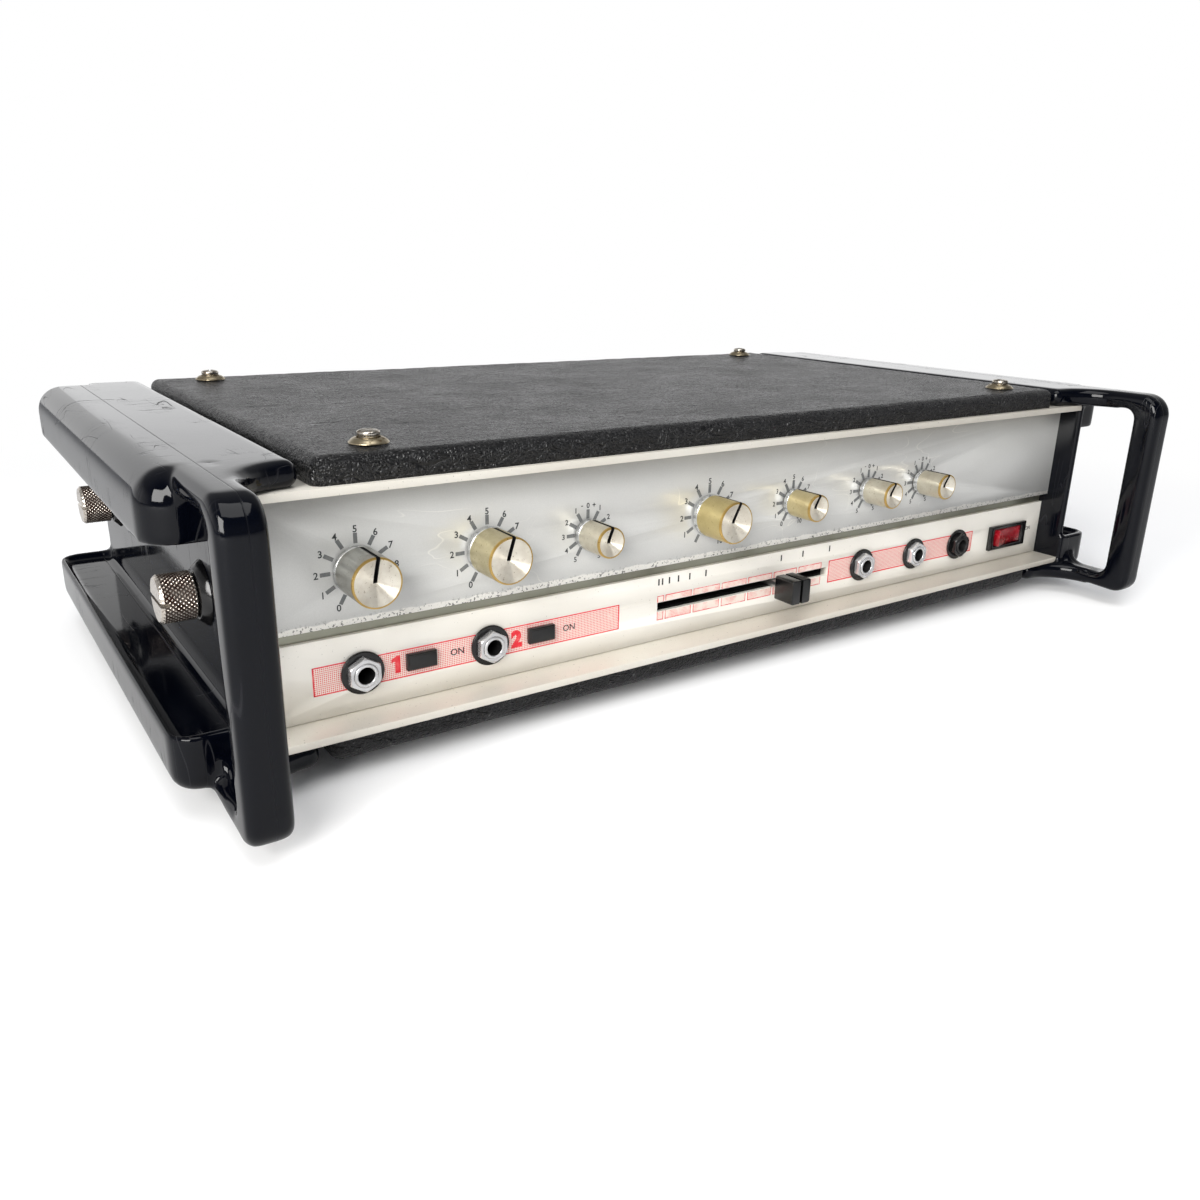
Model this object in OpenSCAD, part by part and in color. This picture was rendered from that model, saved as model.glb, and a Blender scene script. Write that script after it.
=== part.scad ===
// Tape echo unit: a wide shallow case between two moulded end cheeks with handle loops.
// Frame: X to the right along the front panel, Y from front to back, Z up, origin under
// the middle of the whole unit, on the surface that it stands on.
// Pieces are written in case coordinates: Y from the front lips, Z from the case's underside.

/* [Case] */
// Width of the case between the cheeks
case_w = 482.6; // [440:0.1:520]
// Height of the front extrusion over both lips
case_h = 95; // [90:0.5:110]
// Depth of the case from the front lips to the back of the cheeks
case_d = 256; // [236:1:300]
// Thickness of the front lips
lip_t = 3; // [2:0.1:4]
// Depth of the shelf from the lip to the front of the panel wall
shelf_d = 17.3; // [16.5:0.1:22]
// Thickness of the panel wall behind the fascias
wall_t = 2.5; // [2:0.1:4]
// Thickness of the chassis tray and the rear panel
sheet_t = 1.5; // [1:0.1:2.5]
// How far the rear panel sits in front of the cheeks' back
rear_recess = 8; // [4:0.5:20]

/* [Covers] */
// Thickness of the lid board and the bottom board
board_t = 10.5; // [8:0.5:14]
// Width of the boards
board_w = 431; // [400:1:436]
// How far the boards start behind the lips
board_inset = 2.5; // [0:0.5:8]
// Rounding of the boards' edges
board_r = 4.5; // [2:0.5:6]
// Distance of the lid screws from the boards' middle
board_screw_x = 188; // [150:1:200]
// Distance of the front lid screws behind the lips
board_screw_y = 20; // [14:1:40]
// Diameter of the cup washers
cup_d = 15; // [11:0.5:18]
// Height of the cup washers
cup_h = 2.2; // [1.5:0.1:3]
// Diameter of the cover screws' heads
screw_head_d = 8.5; // [7:0.1:9.5]
// Height of the lid screws' raised heads
screw_head_h = 4.2; // [2.2:0.1:5]
// Diameter of the cover screws' shanks
screw_d = 4; // [3:0.1:5]

/* [Feet] */
// Height of the rubber feet
foot_h = 8; // [5:0.5:14]
// Diameter of the rubber feet
foot_d = 22; // [16:1:30]
// Distance of the front feet behind the lips
foot_y = 40; // [30:1:60]

/* [Cheeks] */
// Thickness of a cheek's web beside the case
web_t = 4; // [3:0.5:6]
// How far the top rail reaches out from the case's side
rail_out = 29; // [27:0.5:36]
// Height of the top rail
rail_h = 24.3; // [20:0.1:30]
// Radius of the top rail's rounded outer edge
rail_r = 12; // [8:0.5:14]
// Width of the flanges that lap over the case
lap_w = 22; // [16:0.5:24]
// Thickness of the lapping flanges
lap_t = 9.8; // [7:0.1:12]
// How far the lower flange reaches out from the case's side
tray_out = 29.5; // [27:0.5:36]
// Height of the lower flange's rim above the case's underside
tray_rim = 15.8; // [12:0.1:22]
// How far the lower flange drops below the case's underside
tray_drop = 6; // [3:0.5:8]
// Depth of the shallow tray in the lower flange
tray_deep = 3; // [1:0.1:5]
// Radius of the lower flange's front and back corners
tray_r = 10; // [6:0.5:12]
// Wall thickness of the hollow rail and lower flange
shell_t = 4; // [3:0.1:5]
// How far the rail's front end sits behind the lips
rail_front = 4; // [2:0.5:8]
// How far the lower flange's front end sits in front of the lips
tray_front = 1.7; // [0:0.1:4]

/* [Handles] */
// How far the handle bars stand in front of the lips
handle_reach = 43; // [36:0.1:70]
// Width of the handle loops across the panel
handle_w = 16; // [14:0.1:20]
// How far the loops stand outside the case's side
loop_out = 2; // [0:0.1:3]
// Depth of the handle bars from front to back
bar_d = 14.2; // [12:0.1:18]
// Thickness of the loops' top arms
arm_top_t = 9; // [7:0.1:12]
// How far the loops drop below the case's underside
loop_drop = 9.8; // [7:0.1:12]
// Thickness of the loops' lower arms at the bars
arm_low_t = 8.8; // [7:0.1:10]
// How much the lower arms' undersides rise from the bars to the flanges
arm_rise = 2.8; // [0:0.1:3.5]
// Radius of the loops' outer top corner
loop_r = 12; // [8:0.5:16]
// Radius of the loops' outer lower corner
loop_low_r = 8; // [6:0.5:12]
// Radius of the loops' inner corners
hand_r = 6; // [3:0.5:8]
// Rounding of the loops' edges
edge_r = 3.6; // [2:0.1:5]
// Radius of the sweep from the lapping flanges into the arms
sweep_r = 21; // [12:0.5:21.5]

/* [Thumbscrews] */
// Diameter of the knurled heads
thumb_d = 18.4; // [15:0.1:20]
// Length of the knurled heads
thumb_l = 13; // [9:0.1:14]
// Diameter of the studs
stud_d = 6; // [5:0.1:8]
// Length of the cone collars
collar_l = 3.7; // [3:0.1:6]
// Diameter of the cone collars at the web
collar_d = 25.4; // [22:0.1:28]
// Height of the thumbscrews above the case's underside
thumb_z = 51; // [40:0.5:60]
// Distance of the front thumbscrews behind the lips
thumb_y = 44; // [36:0.5:60]
// Width of the coin slot across the heads
coin_w = 1.6; // [1:0.1:2.5]
// Depth of the coin slot
coin_deep = 3; // [1.5:0.1:5]
// Thickness of the nuts inside
nut_t = 5; // [4:0.5:8]

/* [Fascias] */
// Depth from the lips to the upper fascia's face
upper_face_y = 12.4; // [10:0.1:14]
// Depth from the lips to the lower fascia's face
lower_face_y = 15.3; // [14:0.1:16.3]
// Lower edge of the upper fascia above the case's underside
upper_z = 40.1; // [38:0.1:42]
// Upper edge of the lower fascia above the case's underside
lower_top_z = 34.9; // [33.5:0.1:37.5]
// Gap between the lower fascia and the bottom lip
lower_gap = 0.4; // [0.2:0.1:1]

/* [Knobs] */
// Height of the knobs' axes above the case's underside
knob_z = 60.7; // [58:0.1:66]
// Diameter of the large knobs
knob_large_d = 19; // [16:0.1:22]
// Diameter of the small knobs
knob_small_d = 13.2; // [13:0.1:16]
// How far the large knobs stand in front of the lips
knob_large_out = 7; // [3:0.1:10]
// How far the small knobs stand in front of the lips
knob_small_out = 5.4; // [3:0.1:10]
// Length of the knobs' plain base rings
ring_l = 2.5; // [1:0.1:4]
// Gap between the knobs and the upper fascia
knob_gap = 0.5; // [0.3:0.1:1]
// Width of the knobs' pointer grooves
pointer_w = 1.1; // [0.6:0.1:1.6]
// Depth of the knobs' pointer grooves
pointer_deep = 0.6; // [0.3:0.1:1]
// Depth of the dished caps
dish_deep = 2.6; // [0.4:0.1:3]
// Diameter of the potentiometer shafts
shaft_d = 6; // [5:0.1:6.35]
// Diameter of the potentiometer bushes
bush_d = 9.4; // [8.5:0.1:9.6]

/* [Jacks] */
// Height of the jack sockets' axes above the case's underside
jack_z = 18.9; // [17:0.1:20]
// Diameter of the jack sockets' mouths
jack_bore_d = 6.8; // [6.5:0.1:7]
// Diameter of the jack sockets' threaded bushes
jack_bush_d = 9.5; // [9:0.1:10]
// Diameter of the jack washers
jack_washer_d = 17.3; // [15:0.1:19]
// Width of the jack nuts across their corners
jack_nut_d = 14; // [13:0.1:15]
// Depth of the jack sockets' bores
jack_bore_l = 34; // [30:1:40]

/* [Delay slider] */
// Length of the slider's slot
slot_l = 111; // [90:1:120]
// Height of the slider's slot
slot_h = 4.3; // [3.5:0.1:6]
// Height of the slot's middle above the case's underside
slot_z = 19.4; // [18:0.1:20.5]
// Width and height of the slider knob
slider_w = 12; // [9:0.1:14]
// Depth of the slider knob from front to back
slider_d = 12.3; // [9:0.1:15]
// How far the slider knob stands in front of the lips
slider_front = 3.2; // [0:0.1:5]
// Where the slider stands, from the middle of the slot
slider_x = 18.3; // [-40:0.1:40]
// Width of the slider's lever
lever_w = 5; // [4:0.1:7]
// Thickness of the slider's lever
lever_t = 3; // [2:0.1:3.2]

/* [Switches] */
// Width of the echo switches' caps
cap_w = 12.7; // [12:0.1:15]
// Height of the echo switches' caps
cap_h = 6.8; // [5:0.1:8]
// How far the echo switches' caps stand in front of the lower fascia
cap_out = 3; // [2:0.1:5]
// Travel of the echo switches
cap_travel = 4; // [2:0.1:4.2]
// Width and height of the echo switches' stems
stem_w = 3; // [2:0.1:3.4]
// Width of the mains switch frame
frame_w = 34.5; // [30:0.1:36]
// Height of the mains switch frame
frame_h = 14.4; // [13:0.1:16]
// Middle of the mains switch from the middle of the panel
frame_x = 208.2; // [200:0.1:212]
// Middle of the mains switch above the case's underside
frame_z = 17.8; // [15:0.1:18.5]
// Tilt of each half of the rocker
rocker_tilt = 7; // [5:0.5:9]

/* [Deck] */
// Height of the tape deck above the case's underside
deck_z = 56; // [52:0.5:58]
// Width of the tape deck
deck_w = 350; // [340:1:380]
// Depth of the tape deck
deck_d = 178; // [172:1:185]
// Diameter of the flywheel
flywheel_d = 64; // [50:1:70]
// Diameter of the capstan
capstan_d = 5; // [4:0.1:7]
// Diameter of the pinch roller
roller_d = 20; // [16:0.5:24]
// Diameter of the motor pulley
pulley_d = 14; // [10:0.5:18]
// Width of the tape
tape_w = 6.35; // [6:0.05:6.5]

/* [Hidden] */
$fn = 48;
e = 0.01;                 // makes cuts pass through faces
gap = 0.3;                // clearance between neighbouring curved faces
fit = 0.05;               // radial running clearance of shafts and studs
slide_gap = 0.2;          // clearance of sheet parts beside each other
steps = 4;                // layers that round the edges of the handle loops and lapping flanges

lip_y = handle_reach - (case_d + handle_reach) / 2;
case_z = foot_h + board_t;
half_w = case_w / 2;
side_x = half_w + loop_out;
top_z = case_h + lap_t;
wall_back = shelf_d + wall_t;
rear_y = case_d - rear_recess;
tray_half = half_w - slide_gap;
face_top = case_h - lip_t;

board_x = board_w / 2;
screw_ys = [board_screw_y, case_d - board_screw_y + board_inset];
screw_xs = [-board_screw_x, board_screw_x];
foot_ys = [foot_y, case_d - foot_y];
thumb_ys = [thumb_y, case_d - thumb_y];
thumb_x = half_w + web_t + collar_l;
arm_end = rail_front + rail_r;
lap_corner = 1.2 * edge_r;

// Places of the controls along the panel: x, diameter, front and pointer angle of each knob
knob_at = [[-198.2, knob_large_d, knob_large_out, 4], [-144.3, knob_large_d, knob_large_out, 7],
    [-96.7, knob_small_d, knob_small_out, 3], [-30.4, knob_large_d, knob_large_out, 11],
    [22.7, knob_small_d, knob_small_out, 1], [76.2, knob_small_d, knob_small_out, 0],
    [118.1, knob_small_d, knob_small_out, 0]];
jack_xs = [-197.5, -142.5, 81, 123.2, 161.4];
last_jack = 4;
cap_xs = [-173.5, -118.5];
nut_recess_d = 12.4;      // hole in the upper fascia round each potentiometer nut
pot_nut_d = 11.6;
pot_nut_t = 2.4;
pot_l = 10;
slot_r = slot_h / 2;
slot_wall = 2;            // extra height of the wall's slot over the fascia's slot
switch_d = 12;            // echo switches' bodies behind the wall
switch_h = 10;

knob_back = upper_face_y - knob_gap;
knob_rim = 0.9;           // width of the rim round the dished cap
knob_bore_l = 10;
screw_ledge = board_screw_y + 8 - wall_back;   // the top lip runs on under the lid screws
rear_ledge = 20;          // flange of the rear panel under the lid screws
washer_t = 1.2;
jack_nut_t = 3;
jack_nut_y = lower_face_y - washer_t - jack_nut_t;

deck_shift = 15;          // the deck plate sits this far to the left, clear of the transformer
deck_behind = 8;          // room between the deck plate and the rear panel
deck_x = -deck_w / 2 - deck_shift;
deck_y = rear_y - deck_behind - deck_d;
deck_margin = 10;         // the posts stand this far inside the deck plate's edges
tape_lift = 12;           // height of the tape's middle over the deck plate
tape_z = deck_z + sheet_t + tape_lift;
guide_r = 6;
belt_drop = 10;           // the belt runs this far under the deck plate
belt_z = deck_z - belt_drop;
belt_t = 1;
flywheel_t = 10;
pulley_t = 8;
capstan_at = [deck_x + 130, deck_y + deck_d - 35];
drive_span = 60;          // distance of the motor from the capstan, to the left and to the front
motor_at = [capstan_at[0] - drive_span, capstan_at[1] - drive_span];
tape_t = 0.4;
tape_back = capstan_at[1] + capstan_d / 2 + gap;
guide_back_y = tape_back - gap - guide_r;
guide_front_y = deck_y + 30;
guide_xs = [deck_x + 25, deck_x + deck_w - 45];
tape_front = guide_front_y - guide_r - gap;
roller_at = [capstan_at[0], tape_back + tape_t + gap + roller_d / 2];
arm_l = 34;
arm_pivot = [roller_at[0] + arm_l, roller_at[1]];
deck_posts_at = [for (x = [deck_x + deck_margin, deck_x + deck_w - deck_margin])
    for (y = [deck_y + deck_margin, deck_y + deck_d - deck_margin]) [x, y]];
motor_d = 38;
motor_h = 30;
bearing_d = 12;

module placed() translate([0, lip_y, case_z]) children();

// A cylinder along Y from y0 to y1
module rod_y(x, z, d, y0, y1) {
    translate([x, y0, z])
        rotate([-90, 0, 0])
            cylinder(d = d, h = y1 - y0);
}

// A cylinder along X from x0 to x1
module rod_x(y, z, d, x0, x1) {
    translate([x0, y, z])
        rotate([0, 90, 0])
            cylinder(d = d, h = x1 - x0);
}

// A box between two corners
module block(low, high) {
    translate(low)
        cube(high - low);
}

// A rectangle with round corners, between two corners
module round_rect(low, high, r) {
    translate(low + [r, 0])
        square([high[0] - low[0] - 2 * r, high[1] - low[1]]);
    translate(low + [0, r])
        square([high[0] - low[0], high[1] - low[1] - 2 * r]);
    for (x = [low[0] + r, high[0] - r], y = [low[1] + r, high[1] - r])
        translate([x, y])
            circle(r = r);
}

// ---- cheeks, drawn for the right side in case coordinates ----

// A rectangle with two round corners at its low-X side, r0 below and r1 above
module nose(low, high, r0, r1) {
    difference() {
        translate(low)
            square(high - low);
        difference() {
            translate(low - [e, e])
                square(r0 + e);
            translate(low + [r0, r0])
                circle(r = r0);
        }
        difference() {
            translate([low[0] - e, high[1] - r1])
                square(r1 + e);
            translate([low[0] + r1, high[1] - r1])
                circle(r = r1);
        }
    }
}

// Side outline of the handle loop and its arms, inset by d; X of the drawing is Y of the case
module loop_outline(d) {
    difference() {
        nose([-handle_reach + d, -loop_drop + d], [arm_end, top_z - d], loop_low_r - d, loop_r - d);
        nose([-handle_reach + bar_d - d, -loop_drop + arm_low_t - d],
            [arm_end + 1, top_z - arm_top_t + d], hand_r + d, hand_r + d);
        // the lower arm's underside rises to the flange
        polygon([[-handle_reach + loop_low_r, -loop_drop - 1], [-handle_reach + loop_low_r, -loop_drop + d],
            [arm_end + 1, arm_rise - loop_drop + d], [arm_end + 1, -loop_drop - 1]]);
    }
}

// The inset of each layer, and how far it lies inside the flat sides, round off an edge
function layer_inset(i) = edge_r * (1 - sin(90 * i / steps));
function layer_side(i) = edge_r * (1 - cos(90 * i / steps));

module handle_loop() {
    for (i = [0:steps])
        translate([side_x + layer_side(i), 0, 0])
            rotate([90, 0, 90])
                linear_extrude(handle_w - 2 * layer_side(i))
                    loop_outline(layer_inset(i));
}

// Plan of a flange that laps over the case, with its sweep into the arm, inset by d
module lap_outline(d) {
    difference() {
        union() {
            nose([half_w - lap_w + d, board_inset + d], [half_w + web_t, case_d - d],
                lap_corner - d, lap_corner - d);
            translate([side_x - sweep_r, board_inset - sweep_r])
                square([sweep_r + edge_r, sweep_r + lap_corner]);
        }
        translate([side_x - sweep_r, board_inset - sweep_r])
            circle(r = sweep_r + d);
    }
}

module lap_flange() {
    for (i = [0:steps])
        translate([0, 0, layer_side(i)])
            linear_extrude(lap_t - 2 * layer_side(i))
                lap_outline(layer_inset(i));
}

// A rail along Y whose outer, front and back top edges are round, in exact pieces
module rail() {
    x = half_w + rail_out - rail_r;
    z = top_z - rail_r;
    low = top_z - rail_h;
    ends = [rail_front + rail_r, case_d - rail_r];
    difference() {
        union() {
            block([half_w, ends[0], low], [x, ends[1], top_z]);
            block([half_w, ends[0], low], [x + rail_r, ends[1], z]);
            block([half_w, rail_front, low], [x, case_d, z]);
            rod_y(x, z, 2 * rail_r, ends[0], ends[1]);
            for (y = ends) {
                rod_x(y, z, 2 * rail_r, half_w, x);
                // the ball's poles lie inside the rail
                translate([x, y, z])
                    rotate([0, 90, y == ends[0] ? 45 : -45])
                        sphere(r = rail_r);
                translate([x, y, low])
                    cylinder(r = rail_r, h = z - low);
            }
        }
        // the rail is a hollow moulding, open underneath
        block([half_w + web_t, ends[0], low - 1], [x + rail_r - shell_t, ends[1], z]);
    }
}

// Plan of the lower flange
module tray_plan(inset) {
    translate([half_w, inset - tray_front])
        square([tray_out - tray_r, case_d + tray_front - 2 * inset]);
    round_rect([half_w, inset - tray_front], [half_w + tray_out - inset, case_d - inset], tray_r - inset);
}

// A corner of the lower flange's underside, rounded in plan and in section
module tray_corner(y) {
    translate([half_w + tray_out - tray_r, y, 0])
        rotate_extrude()
            intersection() {
                union() {
                    translate([tray_r - tray_drop, 0])
                        circle(r = tray_drop);
                    translate([0, -tray_drop])
                        square([tray_r - tray_drop, tray_drop]);
                }
                translate([0, -tray_drop])
                    square([tray_r, tray_drop]);
            }
}

module lower_flange() {
    inner = shell_t + tray_drop;
    x = half_w + tray_out - tray_r;
    ends = [tray_r - tray_front, case_d - tray_r];
    difference() {
        union() {
            linear_extrude(tray_rim)
                tray_plan(0);
            translate([0, 0, -tray_drop])
                linear_extrude(tray_drop + 1)
                    tray_plan(tray_drop);
            rod_y(half_w + tray_out - tray_drop, 0, 2 * tray_drop, ends[0], ends[1]);
            for (y = [tray_drop - tray_front, case_d - tray_drop])
                rod_x(y, 0, 2 * tray_drop, half_w, x);
            for (y = ends)
                tray_corner(y);
        }
        // shallow tray in the top
        translate([0, 0, tray_rim - tray_deep])
            linear_extrude(tray_deep + 1)
                round_rect([half_w + web_t, shell_t - tray_front],
                    [half_w + tray_out - shell_t / 2, case_d - shell_t], tray_r - shell_t);
        // hollow, open underneath
        block([half_w + web_t, inner, -tray_drop - 1],
            [half_w + tray_out - inner, case_d - inner, tray_rim - tray_deep - shell_t]);
    }
}

module cheek_body() {
    difference() {
        union() {
            block([half_w, 0, -lap_t + edge_r], [half_w + web_t, case_d, top_z - edge_r]);
            translate([0, 0, case_h])
                lap_flange();
            translate([0, 0, -lap_t])
                lap_flange();
            rail();
            lower_flange();
            handle_loop();
            // concave foot from the lower flange to the lower arm
            translate([side_x + edge_r, -tray_front, arm_low_t - loop_drop])
                rotate([90, 0, 90])
                    linear_extrude(handle_w - 2 * edge_r)
                        difference() {
                            translate([-tray_r, -e])
                                square([tray_r + e, tray_r]);
                            translate([-tray_r, tray_r])
                                circle(r = tray_r);
                        }
        }
        for (y = thumb_ys)
            rod_x(y, thumb_z, stud_d + 2 * gap, half_w - 1, half_w + web_t + 1);
    }
}

cheek_colour = [0.03, 0.035, 0.06];

module left_cheek() {
    color(cheek_colour)
        placed()
            mirror([1, 0, 0])
                cheek_body();
}

module right_cheek() {
    color(cheek_colour)
        placed()
            cheek_body();
}

// ---- thumbscrews: side is -1 on the left and 1 on the right ----

module thumbscrew(side, y) {
    stud_l = collar_l + web_t + slide_gap + sheet_t + nut_t;
    rim = 0.8;
    color("silver")
        placed()
            mirror([side < 0 ? 1 : 0, 0, 0])
                difference() {
                    union() {
                        rod_x(y, thumb_z, thumb_d, thumb_x, thumb_x + thumb_l - rim);
                        rod_x(y, thumb_z, thumb_d - 2 * rim, thumb_x, thumb_x + thumb_l);
                        rod_x(y, thumb_z, stud_d, thumb_x - stud_l, thumb_x + e);
                    }
                    block([thumb_x + thumb_l - coin_deep, y - coin_w / 2, thumb_z - thumb_d],
                        [thumb_x + thumb_l + 1, y + coin_w / 2, thumb_z + thumb_d]);
                }
}

module thumbscrew_left_front() thumbscrew(-1, thumb_ys[0]);
module thumbscrew_left_rear() thumbscrew(-1, thumb_ys[1]);
module thumbscrew_right_front() thumbscrew(1, thumb_ys[0]);
module thumbscrew_right_rear() thumbscrew(1, thumb_ys[1]);

module thumbscrew_collars() {
    color([0.05, 0.05, 0.06])
        placed()
            for (side = [0, 1], y = thumb_ys)
                mirror([side, 0, 0])
                    difference() {
                        translate([half_w + web_t, y, thumb_z])
                            rotate([0, 90, 0])
                                cylinder(d1 = collar_d, d2 = thumb_d + 1, h = collar_l - gap);
                        rod_x(y, thumb_z, stud_d + 2 * fit, half_w, thumb_x + 1);
                    }
}

module thumbscrew_nuts() {
    color("silver")
        placed()
            for (side = [0, 1], y = thumb_ys)
                mirror([side, 0, 0])
                    difference() {
                        translate([tray_half - sheet_t - nut_t, y, thumb_z])
                            rotate([0, 90, 0])
                                cylinder(d = 2 * stud_d, h = nut_t, $fn = 6);
                        rod_x(y, thumb_z, stud_d + 2 * fit, half_w - 3 * nut_t, half_w);
                    }
}

// ---- covers ----

// A board with one face rounded over at its edges, rounded side up
module board() {
    hull() {
        for (x = [-board_x + board_r, board_x - board_r], y = [board_inset + board_r, case_d - board_r]) {
            translate([x, y, board_t - board_r])
                sphere(r = board_r, $fn = 32);
            translate([x, y, 0])
                cylinder(r = board_r, h = e, $fn = 32);
        }
    }
}

module lid() {
    color([0.08, 0.08, 0.08])
        placed()
            translate([0, 0, case_h])
                difference() {
                    board();
                    for (x = screw_xs, y = screw_ys)
                        translate([x, y, -1])
                            cylinder(d = screw_d + 2 * gap, h = board_t + 2);
                }
}

module lid_cup_washers() {
    color([0.6, 0.52, 0.36])
        placed()
            for (x = screw_xs, y = screw_ys)
                translate([x, y, case_h + board_t])
                    difference() {
                        union() {
                            cylinder(d = cup_d, h = 0.5);
                            cylinder(d1 = cup_d - 1, d2 = screw_head_d + 1, h = cup_h);
                        }
                        translate([0, 0, -1])
                            cylinder(d = screw_d + 2 * gap, h = cup_h + 2);
                        translate([0, 0, 0.8])
                            cylinder(d = screw_head_d + 2 * fit, h = cup_h);
                    }
}

module lid_screws() {
    color("silver")
        placed()
            for (x = screw_xs, y = screw_ys)
                translate([x, y, case_h + board_t])
                    difference() {
                        union() {
                            translate([0, 0, 0.8])
                                cylinder(d = screw_head_d, h = screw_head_h);
                            translate([0, 0, -board_t - lip_t])
                                cylinder(d = screw_d, h = board_t + lip_t + 1);
                        }
                        translate([-screw_head_d, -0.5, screw_head_h])
                            cube([2 * screw_head_d, 1, 2]);
                    }
}

module bottom_cover() {
    color([0.08, 0.08, 0.08])
        placed()
            mirror([0, 0, 1])
                difference() {
                    board();
                    for (x = screw_xs, y = foot_ys)
                        translate([x, y, -1])
                            cylinder(d = screw_d + 2 * gap, h = board_t + 2);
                }
}

module rubber_feet() {
    color([0.1, 0.1, 0.1])
        for (x = screw_xs, y = foot_ys)
            translate([x, y + lip_y, 0])
                difference() {
                    cylinder(d1 = foot_d - 3, d2 = foot_d, h = foot_h);
                    translate([0, 0, -1])
                        cylinder(d = screw_head_d + 1, h = foot_h - 2);
                    translate([0, 0, 1])
                        cylinder(d = screw_d + 2 * gap, h = foot_h);
                }
}

module foot_screws() {
    color("silver")
        for (x = screw_xs, y = foot_ys)
            translate([x, y + lip_y, foot_h - 3 - cup_h])
                union() {
                    cylinder(d = screw_head_d, h = cup_h);
                    cylinder(d = screw_d, h = cup_h + 3 + board_t - 1);
                }
}

// ---- front ----

// The holes that the panel wall and the fascias share
module panel_holes(pot_d, jack_d, slot_extra, y0, y1) {
    for (k = knob_at)
        rod_y(k[0], knob_z, pot_d, y0, y1);
    for (x = jack_xs)
        rod_y(x, jack_z, jack_d, y0, y1);
    block([-slot_l / 2, y0, slot_z - slot_r - slot_extra], [slot_l / 2, y1, slot_z + slot_r + slot_extra]);
    for (x = cap_xs)
        block([x - stem_w / 2 - gap, y0, slot_z - stem_w / 2 - gap],
            [x + stem_w / 2 + cap_travel + gap, y1, slot_z + stem_w / 2 + gap]);
    block([frame_x - frame_w / 2 + 3, y0, frame_z - frame_h / 2 + 1.2],
        [frame_x + frame_w / 2 - 3, y1, frame_z + frame_h / 2 - 1.2]);
}

module front_extrusion() {
    color([0.8, 0.79, 0.76])
        placed()
            difference() {
                union() {
                    block([-half_w, 0, 0], [half_w, wall_back, lip_t]);
                    block([-half_w, 0, case_h - lip_t], [half_w, wall_back + screw_ledge, case_h]);
                    block([-half_w, shelf_d, 0], [half_w, wall_back, case_h]);
                }
                panel_holes(bush_d + 2 * gap, jack_bush_d + 2 * gap, slot_wall, shelf_d - 1, wall_back + 1);
                for (x = screw_xs)
                    translate([x, screw_ys[0], case_h - lip_t - 1])
                        cylinder(d = screw_d + 2 * fit, h = lip_t + 2);
            }
}

module upper_fascia() {
    color([0.78, 0.8, 0.81])
        placed()
            difference() {
                block([-half_w, upper_face_y, upper_z], [half_w, shelf_d, face_top - slide_gap]);
                for (k = knob_at)
                    rod_y(k[0], knob_z, nut_recess_d, upper_face_y - 1, shelf_d + 1);
            }
}

module lower_fascia() {
    color([0.87, 0.86, 0.82])
        placed()
            difference() {
                block([-half_w, lower_face_y, lip_t + lower_gap], [half_w, shelf_d, lower_top_z]);
                panel_holes(0.01, jack_bush_d + 2 * gap, 0, lower_face_y - 1, shelf_d + 1);
            }
}

// ---- chassis ----

module chassis_tray() {
    y0 = wall_back + screw_ledge + slide_gap;
    color([0.62, 0.63, 0.64])
        placed()
            difference() {
                union() {
                    block([-tray_half, y0, 0], [tray_half, rear_y, sheet_t]);
                    block([-tray_half, y0, 0], [-tray_half + sheet_t, rear_y, case_h]);
                    block([tray_half - sheet_t, y0, 0], [tray_half, rear_y, case_h]);
                }
                for (y = thumb_ys)
                    rod_x(y, thumb_z, stud_d + 2 * gap, -half_w - 1, half_w + 1);
            }
}

inlet_x = 180;
inlet_z = 32;
inlet_w = 27;
inlet_h = 20;
fuse_x = 120;

module rear_panel() {
    color([0.6, 0.61, 0.62])
        placed()
            difference() {
                union() {
                    block([-tray_half, rear_y, 0], [tray_half, rear_y + sheet_t, case_h]);
                    block([-tray_half + sheet_t + gap, rear_y - rear_ledge, case_h - sheet_t],
                        [tray_half - sheet_t - gap, rear_y + e, case_h]);
                }
                for (x = screw_xs)
                    translate([x, screw_ys[1], case_h - sheet_t - 1])
                        cylinder(d = screw_d + 2 * fit, h = sheet_t + 2);
                block([inlet_x - inlet_w / 2 - gap, rear_y - 1, inlet_z - inlet_h / 2 - gap],
                    [inlet_x + inlet_w / 2 + gap, rear_y + 5, inlet_z + inlet_h / 2 + gap]);
                rod_y(fuse_x, inlet_z, 13, rear_y - 1, rear_y + 5);
            }
}

// Three-pin mains inlet, the place where a supply cord plugs in
module mains_inlet() {
    face = rear_y + sheet_t;
    wall = 2;
    color([0.06, 0.06, 0.06])
        placed() {
            difference() {
                union() {
                    block([inlet_x - 24, face, inlet_z - 12], [inlet_x + 24, face + wall, inlet_z + 12]);
                    block([inlet_x - inlet_w / 2, face - 20, inlet_z - inlet_h / 2],
                        [inlet_x + inlet_w / 2, face + e, inlet_z + inlet_h / 2]);
                }
                block([inlet_x - inlet_w / 2 + wall, face - 16, inlet_z - inlet_h / 2 + wall],
                    [inlet_x + inlet_w / 2 - wall, face + 5, inlet_z + inlet_h / 2 - wall]);
            }
            for (p = [[-7, -2], [0, 3], [7, -2]])
                block([inlet_x + p[0] - 1, face - 17, inlet_z + p[1] - 2],
                    [inlet_x + p[0] + 1, face - 3, inlet_z + p[1] + 2]);
        }
}

module fuse_holder() {
    face = rear_y + sheet_t;
    color([0.06, 0.06, 0.06])
        placed()
            union() {
                rod_y(fuse_x, inlet_z, 12.6, face - 30, face + 1);
                rod_y(fuse_x, inlet_z, 16, face, face + 4);
            }
}

// ---- rotary controls ----

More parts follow.
